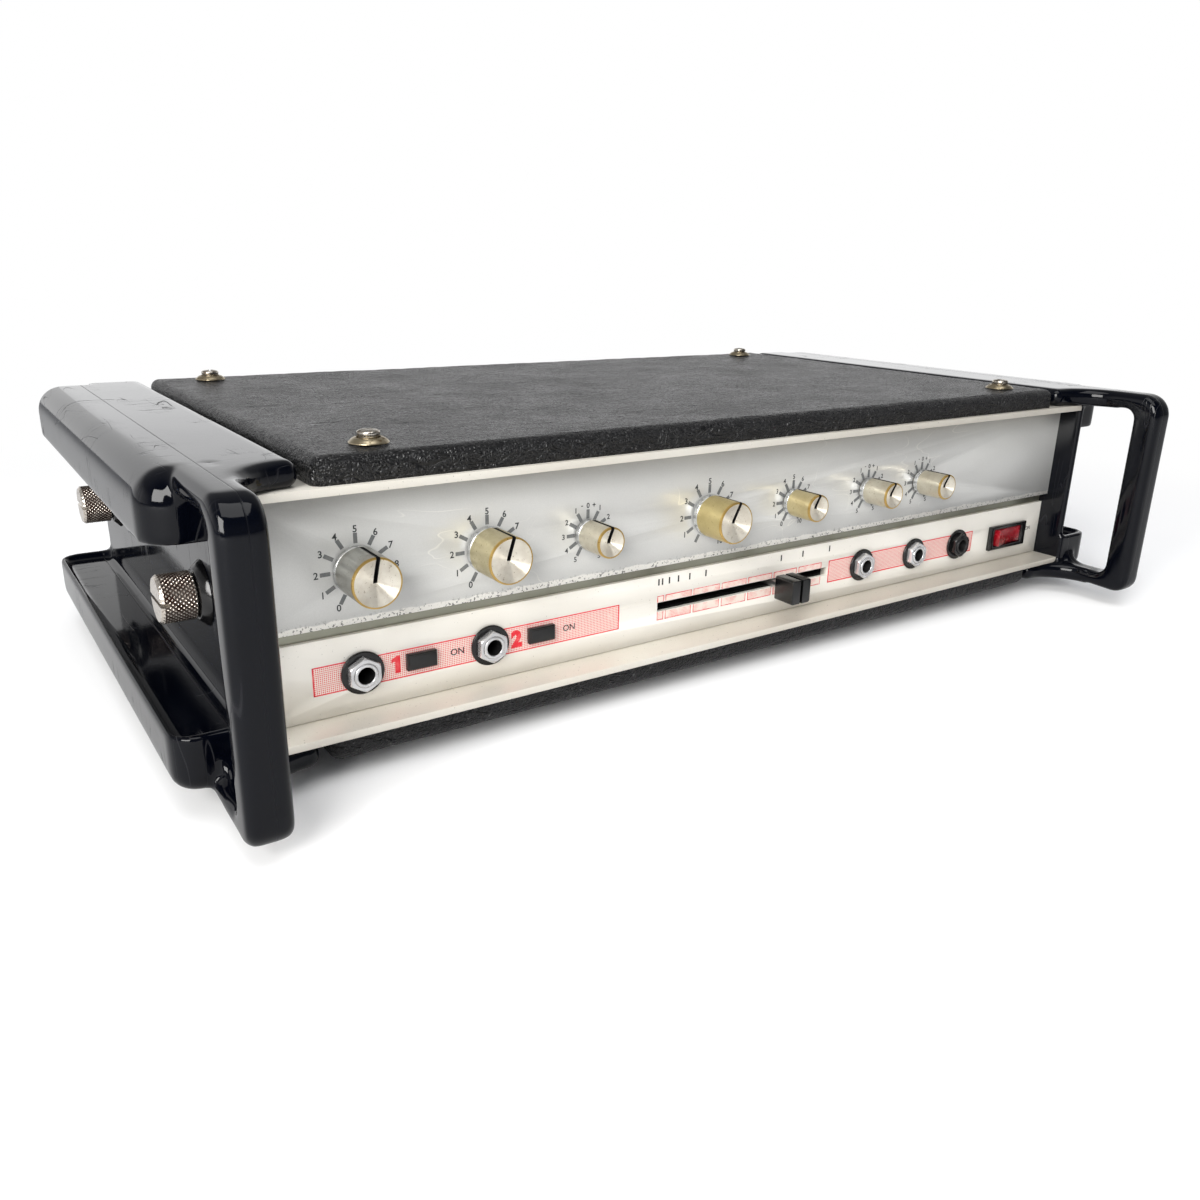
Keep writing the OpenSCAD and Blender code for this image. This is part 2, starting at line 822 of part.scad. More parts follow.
module knob(i) {
    d = knob_at[i][1];
    front = -knob_at[i][2];
    chamfer = 0.4;
    color([0.76, 0.7, 0.55])
        placed()
            translate([knob_at[i][0], 0, knob_z])
                rotate([0, knob_at[i][3], 0]) {
                    difference() {
                        union() {
                            rod_y(0, 0, d, front + chamfer, knob_back);
                            rod_y(0, 0, d - 2 * chamfer, front, front + 2 * chamfer);
                        }
                        // dished cap
                        translate([0, front - e, 0])
                            rotate([-90, 0, 0])
                                cylinder(d1 = d - 2 * knob_rim, d2 = 0.2, h = dish_deep);
                        // pointer groove, down the cap and along the skirt
                        translate([-pointer_w / 2, 0, 0])
                            rotate([90, 0, 90])
                                linear_extrude(pointer_w)
                                    polygon([[front - 1, 0], [front + dish_deep + pointer_deep, 0],
                                        [front + pointer_deep, d / 2 - knob_rim], [front + pointer_deep, d],
                                        [front - 1, d]]);
                        block([-pointer_w / 2, front - 1, d / 2 - pointer_deep],
                            [pointer_w / 2, knob_back - ring_l, d]);
                        rod_y(0, 0, shaft_d + 2 * fit, knob_back - knob_bore_l, knob_back + 1);
                    }
                    rod_y(0, 0, shaft_d, knob_back - knob_bore_l + gap, wall_back + 4);
                }
}

module volume_knob_1() knob(0);
module volume_knob_2() knob(1);
module treble_knob_1() knob(2);
module echo_volume_knob() knob(3);
module echo_repeat_knob() knob(4);
module bass_knob() knob(5);
module treble_knob_2() knob(6);

module potentiometers() {
    color([0.66, 0.6, 0.42])
        placed()
            for (k = knob_at)
                difference() {
                    union() {
                        rod_y(k[0], knob_z, k[1] + 5, wall_back, wall_back + pot_l);
                        rod_y(k[0], knob_z, bush_d, shelf_d - pot_nut_t - 1, wall_back + 1);
                    }
                    rod_y(k[0], knob_z, shaft_d + 2 * fit, shelf_d - 10, wall_back + 5);
                }
}

module pot_nuts() {
    color("silver")
        placed()
            for (k = knob_at)
                difference() {
                    translate([k[0], shelf_d - pot_nut_t, knob_z])
                        rotate([-90, 0, 0])
                            cylinder(d = pot_nut_d, h = pot_nut_t, $fn = 6);
                    rod_y(k[0], knob_z, bush_d + 2 * fit, shelf_d - 10, wall_back + 5);
                }
}

// ---- jacks ----

module jack_sockets() {
    body_w = 17;
    color([0.55, 0.55, 0.56])
        placed()
            for (x = jack_xs)
                difference() {
                    union() {
                        rod_y(x, jack_z, jack_bush_d, jack_nut_y - 0.4, wall_back + 1);
                        block([x - body_w / 2, wall_back, jack_z - body_w / 2],
                            [x + body_w / 2, jack_nut_y + jack_bore_l - 1, jack_z + body_w / 2]);
                    }
                    rod_y(x, jack_z, jack_bore_d, jack_nut_y - 1, jack_nut_y + jack_bore_l);
                }
}

module jack_washers() {
    color([0.04, 0.04, 0.04])
        placed()
            for (x = jack_xs)
                difference() {
                    rod_y(x, jack_z, jack_washer_d, lower_face_y - washer_t, lower_face_y);
                    rod_y(x, jack_z, jack_bush_d + 2 * fit, 0, shelf_d);
                }
}

module jack_nut(x) {
    difference() {
        intersection() {
            translate([x, jack_nut_y, jack_z])
                rotate([-90, 30, 0])
                    cylinder(d = jack_nut_d, h = jack_nut_t, $fn = 6);
            translate([x, jack_nut_y, jack_z])
                rotate([-90, 0, 0])
                    cylinder(d1 = jack_nut_d - 1.2, d2 = jack_nut_d + 6, h = jack_nut_t + 1);
        }
        rod_y(x, jack_z, jack_bush_d + 2 * fit, 0, shelf_d);
    }
}

module jack_nuts() {
    color("silver")
        placed()
            for (i = [0:last_jack - 1])
                jack_nut(jack_xs[i]);
}

module footswitch_nut() {
    color([0.04, 0.04, 0.04])
        placed()
            jack_nut(jack_xs[last_jack]);
}

// ---- echo switches ----

// A cap whose stem runs through the panel; it slides to the right
module echo_switch_cap(i) {
    x = cap_xs[i];
    bevel = 0.6;
    color([0.05, 0.05, 0.05])
        placed()
            union() {
                block([x - cap_w / 2, lower_face_y - cap_out + bevel, slot_z - cap_h / 2],
                    [x + cap_w / 2, lower_face_y - gap, slot_z + cap_h / 2]);
                block([x - cap_w / 2 + bevel, lower_face_y - cap_out, slot_z - cap_h / 2 + bevel],
                    [x + cap_w / 2 - bevel, lower_face_y - gap, slot_z + cap_h / 2 - bevel]);
                block([x - stem_w / 2, lower_face_y - 1, slot_z - stem_w / 2],
                    [x + stem_w / 2, wall_back + switch_d / 2, slot_z + stem_w / 2]);
            }
}

module echo_switch_cap_1() echo_switch_cap(0);
module echo_switch_cap_2() echo_switch_cap(1);

module echo_switch_bodies() {
    color([0.5, 0.5, 0.48])
        placed()
            for (x = cap_xs)
                difference() {
                    block([x - cap_w / 2, wall_back, slot_z - switch_h / 2],
                        [x + cap_w / 2 + cap_travel, wall_back + switch_d, slot_z + switch_h / 2]);
                    block([x - stem_w / 2 - gap, wall_back - 1, slot_z - stem_w / 2 - gap],
                        [x + stem_w / 2 + cap_travel + gap, wall_back + switch_d / 2 + gap,
                            slot_z + stem_w / 2 + gap]);
                }
}

// ---- delay slider ----

slider_back = slider_d - slider_front;

module slider_knob() {
    groove = 1;
    color([0.05, 0.05, 0.05])
        placed()
            translate([slider_x, 0, slot_z])
                difference() {
                    translate([0, slider_back, 0])
                        rotate([90, 0, 0])
                            linear_extrude(slider_d)
                                round_rect([-slider_w / 2, -slider_w / 2], [slider_w / 2, slider_w / 2], 1);
                    difference() {
                        block([-groove / 2, -slider_front - 1, -slider_w],
                            [groove / 2, slider_back + 1, slider_w]);
                        block([-groove, -slider_front + 1.5, 1.5 - slider_w / 2],
                            [groove, slider_back + 2, slider_w / 2 - 1.5]);
                    }
                }
}

module slider_lever() {
    color("silver")
        placed()
            block([slider_x - lever_w / 2, slider_back, slot_z - lever_t / 2],
                [slider_x + lever_w / 2, wall_back + 6, slot_z + lever_t / 2]);
}

module slide_pot() {
    reach = slot_l / 2 + 9;
    color([0.55, 0.55, 0.5])
        placed()
            difference() {
                block([-reach, wall_back, slot_z - 7], [reach, wall_back + 12, slot_z + 7]);
                block([-slot_l / 2, wall_back - 1, slot_z - slot_r],
                    [slot_l / 2, wall_back + 8, slot_z + slot_r]);
            }
}

// ---- mains switch ----

frame_t = 2;
frame_y = lower_face_y - frame_t;
rocker_w = frame_w - 2 * 4.2;
rocker_h = frame_h - 2 * 2.4;
rocker_y = frame_y + 9;
rocker_pin = 2;

module mains_switch_frame() {
    color([0.05, 0.05, 0.05])
        placed() {
            difference() {
                union() {
                    block([frame_x - frame_w / 2, frame_y, frame_z - frame_h / 2],
                        [frame_x + frame_w / 2, lower_face_y, frame_z + frame_h / 2]);
                    block([frame_x - frame_w / 2 + 3.2, frame_y, frame_z - frame_h / 2 + 1.4],
                        [frame_x + frame_w / 2 - 3.2, wall_back + 14, frame_z + frame_h / 2 - 1.4]);
                }
                block([frame_x - rocker_w / 2 - gap, frame_y - 1, frame_z - rocker_h / 2 - gap],
                    [frame_x + rocker_w / 2 + gap, wall_back + 10, frame_z + rocker_h / 2 + gap]);
            }
            translate([frame_x, rocker_y, frame_z - rocker_h / 2 - gap - e])
                cylinder(d = rocker_pin - 2 * fit, h = rocker_h + 2 * gap + 2 * e);
        }
}

// Two-faced rocker on a pin, tilted so that its right half is pressed in
module mains_rocker() {
    half = rocker_w / 2 - 0.9;
    face = rocker_y - frame_y - 1;
    rise = half * tan(rocker_tilt);
    color([0.62, 0.05, 0.09])
        placed()
            translate([frame_x, rocker_y, frame_z])
                rotate([0, 0, rocker_tilt])
                    difference() {
                        translate([0, 0, -rocker_h / 2])
                            linear_extrude(rocker_h)
                                polygon([[-half, 2], [-half, -face - rise], [0, -face],
                                    [half, -face - rise], [half, 2], [3, 4], [-3, 4]]);
                        translate([0, 0, -rocker_h])
                            cylinder(d = rocker_pin, h = 2 * rocker_h);
                    }
}

// ---- inside ----

board_z = 9;
pcb_t = 1.6;
pcb_low = [deck_x + 30, deck_y + 23];
pcb_high = [deck_x + 260, deck_y + deck_d - 20];
pillar_in = 8;            // the pillars stand this far inside the circuit board's edges

module circuit_board() {
    color([0.25, 0.36, 0.2])
        placed()
            union() {
                block([pcb_low[0], pcb_low[1], board_z], [pcb_high[0], pcb_high[1], board_z + pcb_t]);
                for (i = [0:5])
                    translate([pcb_low[0] + 20 + 38 * i, pcb_low[1] + 23, board_z + 1])
                        cylinder(d = 12, h = 22);
                for (i = [0:4])
                    translate([pcb_low[0] + 15 + 44 * i, pcb_low[1] + 45, board_z + 1])
                        cube([20, 8, 5]);
            }
}

module board_pillars() {
    color("silver")
        placed()
            for (x = [pcb_low[0] + pillar_in, pcb_high[0] - pillar_in],
                y = [pcb_low[1] + pillar_in, pcb_high[1] - pillar_in])
                translate([x, y, sheet_t])
                    cylinder(d = 7, h = board_z - sheet_t);
}

// A laminated core with its winding, in the rear right corner of the tray
module transformer() {
    core = [60, 50, 50.5];
    winding = [40, 66, 34];
    middle = half_w - 39.3;
    rear = rear_y - 25;
    color([0.3, 0.28, 0.26])
        placed()
            union() {
                translate([middle - core[0] / 2, rear - (winding[1] + core[1]) / 2, sheet_t])
                    cube(core);
                translate([middle - winding[0] / 2, rear - winding[1], sheet_t + (core[2] - winding[2]) / 2])
                    cube(winding);
            }
}

module deck_plate() {
    color([0.68, 0.68, 0.66])
        placed()
            difference() {
                block([deck_x, deck_y, deck_z], [deck_x + deck_w, deck_y + deck_d, deck_z + sheet_t]);
                translate([capstan_at[0], capstan_at[1], deck_z - 1])
                    cylinder(d = bearing_d + 2 * gap, h = 5);
                translate([motor_at[0], motor_at[1], deck_z - 1])
                    cylinder(d = 8, h = 5);
            }
}

module deck_posts() {
    color("silver")
        placed()
            for (p = deck_posts_at)
                translate([p[0], p[1], sheet_t])
                    cylinder(d = 8, h = deck_z - sheet_t);
}

module motor() {
    color([0.45, 0.46, 0.48])
        placed()
            translate([motor_at[0], motor_at[1], deck_z + sheet_t])
                difference() {
                    cylinder(d = motor_d, h = motor_h);
                    translate([0, 0, -1])
                        cylinder(d = 3 + 2 * fit, h = 12);
                }
}

module motor_pulley() {
    color([0.75, 0.65, 0.35])
        placed()
            translate([motor_at[0], motor_at[1], belt_z - pulley_t / 2])
                union() {
                    cylinder(d = pulley_d, h = pulley_t);
                    cylinder(d = pulley_d + 4, h = 1);
                    translate([0, 0, pulley_t - 1])
                        cylinder(d = pulley_d + 4, h = 1);
                    cylinder(d = 3, h = deck_z + sheet_t + 9 - belt_z + pulley_t / 2);
                }
}

module belt_round(extra) {
    hull() {
        translate(motor_at)
            circle(r = pulley_d / 2 + extra);
        translate(capstan_at)
            circle(r = flywheel_d / 2 + extra);
    }
}

module drive_belt() {
    color([0.1, 0.1, 0.1])
        placed()
            translate([0, 0, belt_z - 2])
                linear_extrude(4)
                    difference() {
                        belt_round(gap + belt_t);
                        belt_round(gap);
                    }
}

module flywheel() {
    color([0.7, 0.7, 0.7])
        placed()
            translate([capstan_at[0], capstan_at[1], belt_z - flywheel_t / 2])
                difference() {
                    cylinder(d = flywheel_d, h = flywheel_t);
                    translate([0, 0, -1])
                        cylinder(d = capstan_d + 2 * fit, h = flywheel_t + 2);
                }
}

module capstan() {
    low = belt_z - flywheel_t / 2 - 2;
    color("silver")
        placed()
            translate([capstan_at[0], capstan_at[1], low])
                cylinder(d = capstan_d, h = tape_z + 12 - low);
}

module capstan_bearing() {
    low = belt_z + flywheel_t / 2 + 1;
    color([0.7, 0.58, 0.3])
        placed()
            difference() {
                union() {
                    translate([capstan_at[0], capstan_at[1], low])
                        cylinder(d = bearing_d, h = tape_z - 8.5 - low);
                    translate([capstan_at[0], capstan_at[1], deck_z + sheet_t])
                        cylinder(d = bearing_d + 6, h = 1.5);
                }
                translate([capstan_at[0], capstan_at[1], low - 1])
                    cylinder(d = capstan_d + 2 * fit, h = 40);
            }
}

arm_z = tape_z + tape_w / 2 + 6;
arm_t = 2;

module pinch_arm() {
    color([0.6, 0.6, 0.6])
        placed()
            union() {
                difference() {
                    translate([0, 0, arm_z])
                        linear_extrude(arm_t)
                            union() {
                                translate(arm_pivot)
                                    circle(r = 6);
                                translate(roller_at)
                                    circle(r = 6);
                                translate([roller_at[0], roller_at[1] - 6])
                                    square([arm_pivot[0] - roller_at[0], 12]);
                            }
                    translate([arm_pivot[0], arm_pivot[1], arm_z - 1])
                        cylinder(r = 2.5 + fit, h = 5);
                }
                translate([roller_at[0], roller_at[1], tape_z - tape_w / 2 - 5])
                    cylinder(d = 4, h = arm_z - tape_z + tape_w / 2 + 5 + e);
            }
}

module pinch_roller() {
    color([0.12, 0.12, 0.12])
        placed()
            translate([roller_at[0], roller_at[1], tape_z - tape_w / 2 - 4])
                difference() {
                    cylinder(d = roller_d, h = tape_w + 8);
                    translate([0, 0, -1])
                        cylinder(d = 4 + 2 * fit, h = tape_w + 10);
                }
}

head_xs = [for (x = [70, 105, 155, 195, 235]) deck_x + x];

module tape_heads() {
    color([0.6, 0.6, 0.62])
        placed()
            for (x = head_xs)
                union() {
                    block([x - 7, tape_front + gap, tape_z - 5],
                        [x + 7, tape_front + 14, tape_z + 7]);
                    block([x - 9, tape_front + 4, deck_z + sheet_t], [x + 9, tape_front + 18, tape_z - 5 + e]);
                }
}

module tape_guides() {
    color("silver")
        placed() {
            for (x = guide_xs, y = [guide_front_y, guide_back_y])
                translate([x, y, deck_z + sheet_t])
                    union() {
                        cylinder(r = guide_r, h = tape_z + tape_w - deck_z - sheet_t);
                        cylinder(r = guide_r + 3, h = 4);
                        translate([0, 0, tape_z + tape_w / 2 + 0.5 - deck_z - sheet_t])
                            cylinder(r = guide_r + 2, h = 1.5);
                    }
            translate([arm_pivot[0], arm_pivot[1], deck_z + sheet_t])
                union() {
                    cylinder(r = 5, h = arm_z - gap - deck_z - sheet_t);
                    cylinder(r = 2.5, h = arm_z + arm_t + 2 - deck_z - sheet_t);
                }
        }
}

module tape_round(extra) {
    hull() {
        for (x = guide_xs, y = [guide_front_y, guide_back_y])
            translate([x, y])
                circle(r = guide_r + extra);
    }
}

module tape_loop() {
    color([0.25, 0.16, 0.1])
        placed()
            translate([0, 0, tape_z - tape_w / 2])
                linear_extrude(tape_w)
                    difference() {
                        tape_round(gap + tape_t);
                        tape_round(gap);
                    }
}

left_cheek();
right_cheek();
thumbscrew_left_front();
thumbscrew_left_rear();
thumbscrew_right_front();
thumbscrew_right_rear();
thumbscrew_collars();
thumbscrew_nuts();
lid();
lid_cup_washers();
lid_screws();
bottom_cover();
rubber_feet();
foot_screws();
front_extrusion();
upper_fascia();
lower_fascia();
chassis_tray();
rear_panel();
mains_inlet();
fuse_holder();
volume_knob_1();
volume_knob_2();
treble_knob_1();
echo_volume_knob();
echo_repeat_knob();
bass_knob();
treble_knob_2();
potentiometers();
pot_nuts();
jack_sockets();
jack_washers();
jack_nuts();
footswitch_nut();
echo_switch_cap_1();
echo_switch_cap_2();
echo_switch_bodies();
slider_knob();
slider_lever();
slide_pot();
mains_switch_frame();
mains_rocker();
circuit_board();
board_pillars();
transformer();
deck_plate();
deck_posts();
motor();
motor_pulley();
drive_belt();
flywheel();
capstan();
capstan_bearing();
pinch_arm();
pinch_roller();
tape_heads();
tape_guides();
tape_loop();
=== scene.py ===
# %% [markdown]
# A tape echo unit, dressed over its solid model. The frame holds every solid piece at its real
# size; this lesson gives each of them the skin that the real one has: gloss plastic cheeks,
# vinyl boards, satin metal, spun knobs, knurled screws and printed dials.
# The frame is loaded first.

# %% Load the frame
import math

import bmesh
import bpy
import numpy as np
from mathutils import Matrix, Vector, noise


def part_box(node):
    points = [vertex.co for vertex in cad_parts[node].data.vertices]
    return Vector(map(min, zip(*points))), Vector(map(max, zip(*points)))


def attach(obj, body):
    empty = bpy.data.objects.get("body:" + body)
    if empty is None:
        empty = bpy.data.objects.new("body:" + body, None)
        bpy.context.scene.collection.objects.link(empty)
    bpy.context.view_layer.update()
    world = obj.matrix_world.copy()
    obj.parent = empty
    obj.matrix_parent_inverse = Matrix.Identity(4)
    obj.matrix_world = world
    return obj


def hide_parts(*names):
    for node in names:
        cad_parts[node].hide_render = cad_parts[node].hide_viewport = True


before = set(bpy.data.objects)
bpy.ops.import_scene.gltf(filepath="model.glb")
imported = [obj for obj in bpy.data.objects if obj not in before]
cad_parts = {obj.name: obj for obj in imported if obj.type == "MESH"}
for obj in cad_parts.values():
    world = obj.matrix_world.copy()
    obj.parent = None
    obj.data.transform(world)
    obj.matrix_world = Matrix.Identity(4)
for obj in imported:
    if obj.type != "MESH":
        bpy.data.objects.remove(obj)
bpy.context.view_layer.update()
MM = 0.001

# %% [markdown]
# The unit was drawn in case coordinates: X from the middle, Y back from the front lips, Z up
# from the case's underside, all in millimetres. The front extrusion starts at the case's own
# corner, so its box gives the shift from case millimetres to the frame's metres.

# %% Places in case millimetres
case_low, case_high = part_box("front_extrusion")
HALF_W = case_high.x / MM
CASE_H = (case_high.z - case_low.z) / MM
case_frame = Matrix.Translation((0, case_low.y, case_low.z)) @ Matrix.Scale(MM, 4)


def at(x, y, z):
    """The place in metres of a point in case millimetres."""
    return case_frame @ Vector((x, y, z))


def case_box(node):
    """A node's lowest and highest corners in case millimetres."""
    to_case = case_frame.inverted()
    return [to_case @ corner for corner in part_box(node)]


LOWER_FACE = case_box("lower_fascia")[0].y
UPPER_FACE = case_box("upper_fascia")[0].y
print("case", round(2 * HALF_W, 1), "x", round(CASE_H, 1))
print("fascias at", round(UPPER_FACE, 1), "and", round(LOWER_FACE, 1))

# %% [markdown]
# Colours are written as a painter reads them off a picture, from 0 to 255, and turned into the
# linear values that the shader wants.

# %% Colours


def linear(value):
    """The share of light that a screen value from 0 to 255 stands for."""
    share = value / 255
    return share / 12.92 if share <= 0.04045 else ((share + 0.055) / 1.055) ** 2.4


def tone(red, green, blue):
    return (linear(red), linear(green), linear(blue), 1.0)


print("mid grey is", round(tone(128, 128, 128)[0], 3))

# %% [markdown]
# Finishes, repeats and the room's light are all trees of nodes. One class adds nodes to any tree:
# a socket gets either a number or a link, and each call returns the socket to go on from.

# %% A helper that grows a tree


class Tree:
    """A tree of nodes that grows call by call."""

    def __init__(self, tree):
        self.tree = tree

    def put(self, socket, value):
        if isinstance(value, bpy.types.NodeSocket):
            self.tree.links.new(value, socket)
        else:
            socket.default_value = value

    def node(self, kind, settings=(), **sockets):
        made = self.tree.nodes.new(kind)
        for key, value in dict(settings).items():
            setattr(made, key, value)
        for key, value in sockets.items():
            self.put(made.inputs[key.replace("_", " ")], value)
        return made

    def maths(self, operation, *values):
        made = self.node("ShaderNodeMath", {"operation": operation})
        for socket, value in zip(made.inputs, values):
            self.put(socket, value)
        return made.outputs[0]

    def span(self, value, low, high, start=0.0, end=1.0, ramp="LINEAR"):
        """Start up to the low value and end from the high one on, with a ramp between them."""
        made = self.node("ShaderNodeMapRange", {"interpolation_type": ramp})
        for socket, number in zip(made.inputs, (value, low, high, start, end)):
            self.put(socket, number)
        return made.outputs["Result"]

    def blend(self, share, first, second, output):
        """Sends a mix of two shaders to the surface of the tree's output node."""
        mixed = self.node("ShaderNodeMixShader")
        for socket, value in zip(mixed.inputs, (share, first, second)):
            self.put(socket, value)
        self.put(self.tree.nodes[output].inputs["Surface"], mixed.outputs[0])


print("tree helper ready")

# %% [markdown]
# A finish starts from object coordinates, which are metres in the frame. The helper takes its
# pattern sizes in millimetres, and its last call fills the shader's own sockets.

# %% A helper that grows a finish


class Finish(Tree):
    """One material."""

    def __init__(self, name):
        self.material = bpy.data.materials.new(name)
        self.material.use_nodes = True
        super().__init__(self.material.node_tree)
        self.shader = self.tree.nodes["Principled BSDF"]
        self.place = self.node("ShaderNodeTexCoord").outputs["Object"]

    def scaled(self, stretch):
        made = self.node("ShaderNodeVectorMath", {"operation": "MULTIPLY"})
        self.put(made.inputs[0], self.place)
        self.put(made.inputs[1], stretch)
        return made.outputs[0]

    def noise(self, size, detail=2.0, stretch=(1, 1, 1), twist=0.0, rough=0.5):
        made = self.node("ShaderNodeTexNoise", Vector=self.scaled(stretch), Scale=1 / (size * MM),
                         Detail=detail, Roughness=rough, Distortion=twist)
        return made.outputs["Fac"]

    def cell_edges(self, size, stretch):
        """The distance to the nearest border between two cells."""
        made = self.node("ShaderNodeTexVoronoi", {"feature": "DISTANCE_TO_EDGE"},
                         Vector=self.scaled(stretch), Scale=1 / (size * MM))
        return made.outputs["Distance"]

    def hairs(self, size, stretch, width=0.006, twist=0.0):
        """Thin curved lines where a stretched noise passes its middle: scratches and creases."""
        off = self.maths("ABSOLUTE", self.maths("SUBTRACT", self.noise(size, 1.0, stretch, twist), 0.5))
        return self.span(off, 0.0, width, 1.0, 0.0)

    def mix(self, share, first, second):
        made = self.node("ShaderNodeMix", {"data_type": "RGBA"})
        share_in, *_, first_in, second_in = made.inputs[:8]
        for socket, value in zip((share_in, first_in, second_in), (share, first, second)):
            self.put(socket, value)
        return made.outputs[2]

    def bump(self, height, depth, under=None):
        """A bump of the given depth in millimetres, laid over another one."""
        made = self.node("ShaderNodeBump", Distance=depth * MM, Height=height)
        if under is not None:
            self.put(made.inputs["Normal"], under)
        return made.outputs["Normal"]

    def axis(self, name):
        return self.node("ShaderNodeSeparateXYZ", Vector=self.place).outputs[name]

    def done(self, colour, roughness, metallic=0.0, normal=None, **fixed):
        """Sets the shader's sockets and returns the material."""
        self.put(self.shader.inputs["Base Color"], colour)
        self.put(self.shader.inputs["Roughness"], roughness)
        self.shader.inputs["Metallic"].default_value = metallic
        if normal is not None:
            self.put(self.shader.inputs["Normal"], normal)
        for name, value in fixed.items():
            self.shader.inputs[name.replace("_", " ")].default_value = value
        return self.material


print("finish helper ready")

# %% [markdown]
# The cheeks are thick gloss plastic, so dark a navy that it reads as black. Handling has left a
# faint haze and hair scratches in two directions, and the mould's halves left a parting line
# along the rail. Gloss lives in a low roughness, which the haze, the scratches and that line raise.

# %% Cheek plastic
PARTING_X = 250.0
PARTING_FULL, PARTING_END = 0.12, 0.4


def cheek_plastic():
    f = Finish("navy_gloss_plastic")
    haze = f.noise(38, 3.0)
    fine = f.noise(2.2, 3.0)
    long = f.hairs(34, (2.4, 0.35, 0.2), 0.006, 0.6)
    cross = f.hairs(23, (0.5, 2.6, 0.25), 0.009, 0.9)
    where = f.span(f.noise(27, 2.0, (1.3, 0.7, 1)), 0.5, 0.6)
    marks = f.maths("MULTIPLY", f.maths("MAXIMUM", long, cross), where)
    from_middle = f.maths("ABSOLUTE", f.axis("X"))
    off_line = f.maths("ABSOLUTE", f.maths("SUBTRACT", from_middle, PARTING_X * MM))
    parting = f.span(off_line, PARTING_FULL * MM, PARTING_END * MM, 1.0, 0.0)
    colour = f.mix(f.span(haze, 0.3, 0.75), tone(2, 3, 8), tone(5, 7, 14))
    colour = f.mix(f.maths("MULTIPLY", marks, 0.5), colour, tone(34, 34, 38))
    smear = f.span(haze, 0.35, 0.8, 0.04, 0.12)
    scored = f.maths("MAXIMUM", marks, f.maths("MULTIPLY", parting, 0.6))
    rough = f.maths("ADD", f.maths("MULTIPLY_ADD", fine, 0.03, smear), f.maths("MULTIPLY", scored, 0.4))
    dent = f.bump(f.maths("MULTIPLY", scored, -1.0), 0.05, f.bump(fine, 0.008))
    return f.done(colour, rough, normal=dent, Specular_IOR_Level=0.25)


gloss_navy = cheek_plastic()
print("made", gloss_navy.name)

# %% [markdown]
# Vinyl cloth is embossed with a leather grain: pebbles about a millimetre across between fine
# valleys, with longer soft creases where it was pulled round the board. Cells give the pebbles,
# stretched hair lines the creases, and a slow noise turns some patches shinier.

# %% Leather-grain vinyl


def leather_vinyl():
    f = Finish("black_grain_vinyl")
    pebbles = f.span(f.cell_edges(1.5, (1.0, 1.3, 1.0)), 0.0, 0.32)
    small = f.noise(0.9, 2.0)
    creases = f.hairs(5.0, (0.3, 1.5, 1.0), 0.05, 1.2)
    crossing = f.hairs(8, (1.4, 0.6, 1.0), 0.035, 1.6)
    worn = f.noise(30, 2.0)
    colour = f.mix(f.span(worn, 0.35, 0.7), tone(10, 10, 13), tone(17, 17, 20))
    # The valleys between the pebbles are painted darker: painted shade in the grain.
    colour = f.mix(f.span(pebbles, 0.0, 0.5), tone(5, 5, 6), colour)
    rough = f.maths("ADD", f.span(worn, 0.3, 0.7, 0.24, 0.32), f.maths("MULTIPLY", small, 0.12))
    grain = f.bump(f.maths("ADD", pebbles, f.maths("MULTIPLY", small, 0.4)), 0.32)
    folds = f.maths("MULTIPLY", f.maths("MAXIMUM", creases, f.maths("MULTIPLY", crossing, 0.6)), -1.0)
    return f.done(colour, rough, normal=f.bump(folds, 0.8, grain), Specular_IOR_Level=0.45)


vinyl = leather_vinyl()
print("made", vinyl.name)

# %% [markdown]
# The front extrusion and the lower fascia are blasted aluminium: cream silver, satin, with a
# sparkle of tiny facets. A fine noise tilts the surface a little from speck to speck. The same
# noise paints some specks lighter, as painted glints of that sparkle. Wear has left dark pits,
# which a noise cut off at a level places.

# %% Blasted aluminium


def blasted(name, clean, dull, rough_low, rough_high, metal):
    f = Finish(name)
    specks = f.noise(0.32, 2.0, rough=0.7)
    clouds = f.noise(45, 3.0, (0.5, 1, 1))
    pits = f.span(f.noise(1.1, 2.0), 0.70, 0.76)
    colour = f.mix(f.span(clouds, 0.3, 0.7), clean, dull)
    # Lighter specks are painted glints, standing in for the sparkle of the facets.
    colour = f.mix(f.span(specks, 0.35, 0.65, 0.0, 0.16), colour, tone(255, 250, 240))
    colour = f.mix(f.maths("MULTIPLY", pits, 0.55), colour, tone(96, 88, 76))
    uneven = f.maths("ADD", f.maths("MULTIPLY", clouds, 0.6), f.maths("MULTIPLY", specks, 0.4))
    rough = f.span(uneven, 0.3, 0.7, rough_low, rough_high)
    return f.done(colour, rough, metal, f.bump(specks, 0.035))


lip_metal = blasted("cream_aluminium", tone(226, 222, 212), tone(212, 205, 192), 0.3, 0.46, 0.45)
panel_metal = blasted("lower_fascia_satin", tone(240, 237, 230), tone(232, 228, 218), 0.34, 0.5, 0.3)
print("made", lip_metal.name, panel_metal.name)

# %% [markdown]
# The upper fascia is a cooler grey sheet under a clear gloss film. The film keeps soft
# reflections, so a coat lies over a satin base. Its lower edge is rubbed to bare white metal in a
# strip two or three millimetres high, ragged and freckled with black.

# %% Upper fascia film
RUB_LOW, RUB_HIGH, RUB_RAGGED = 2.0, 2.5, 3.4


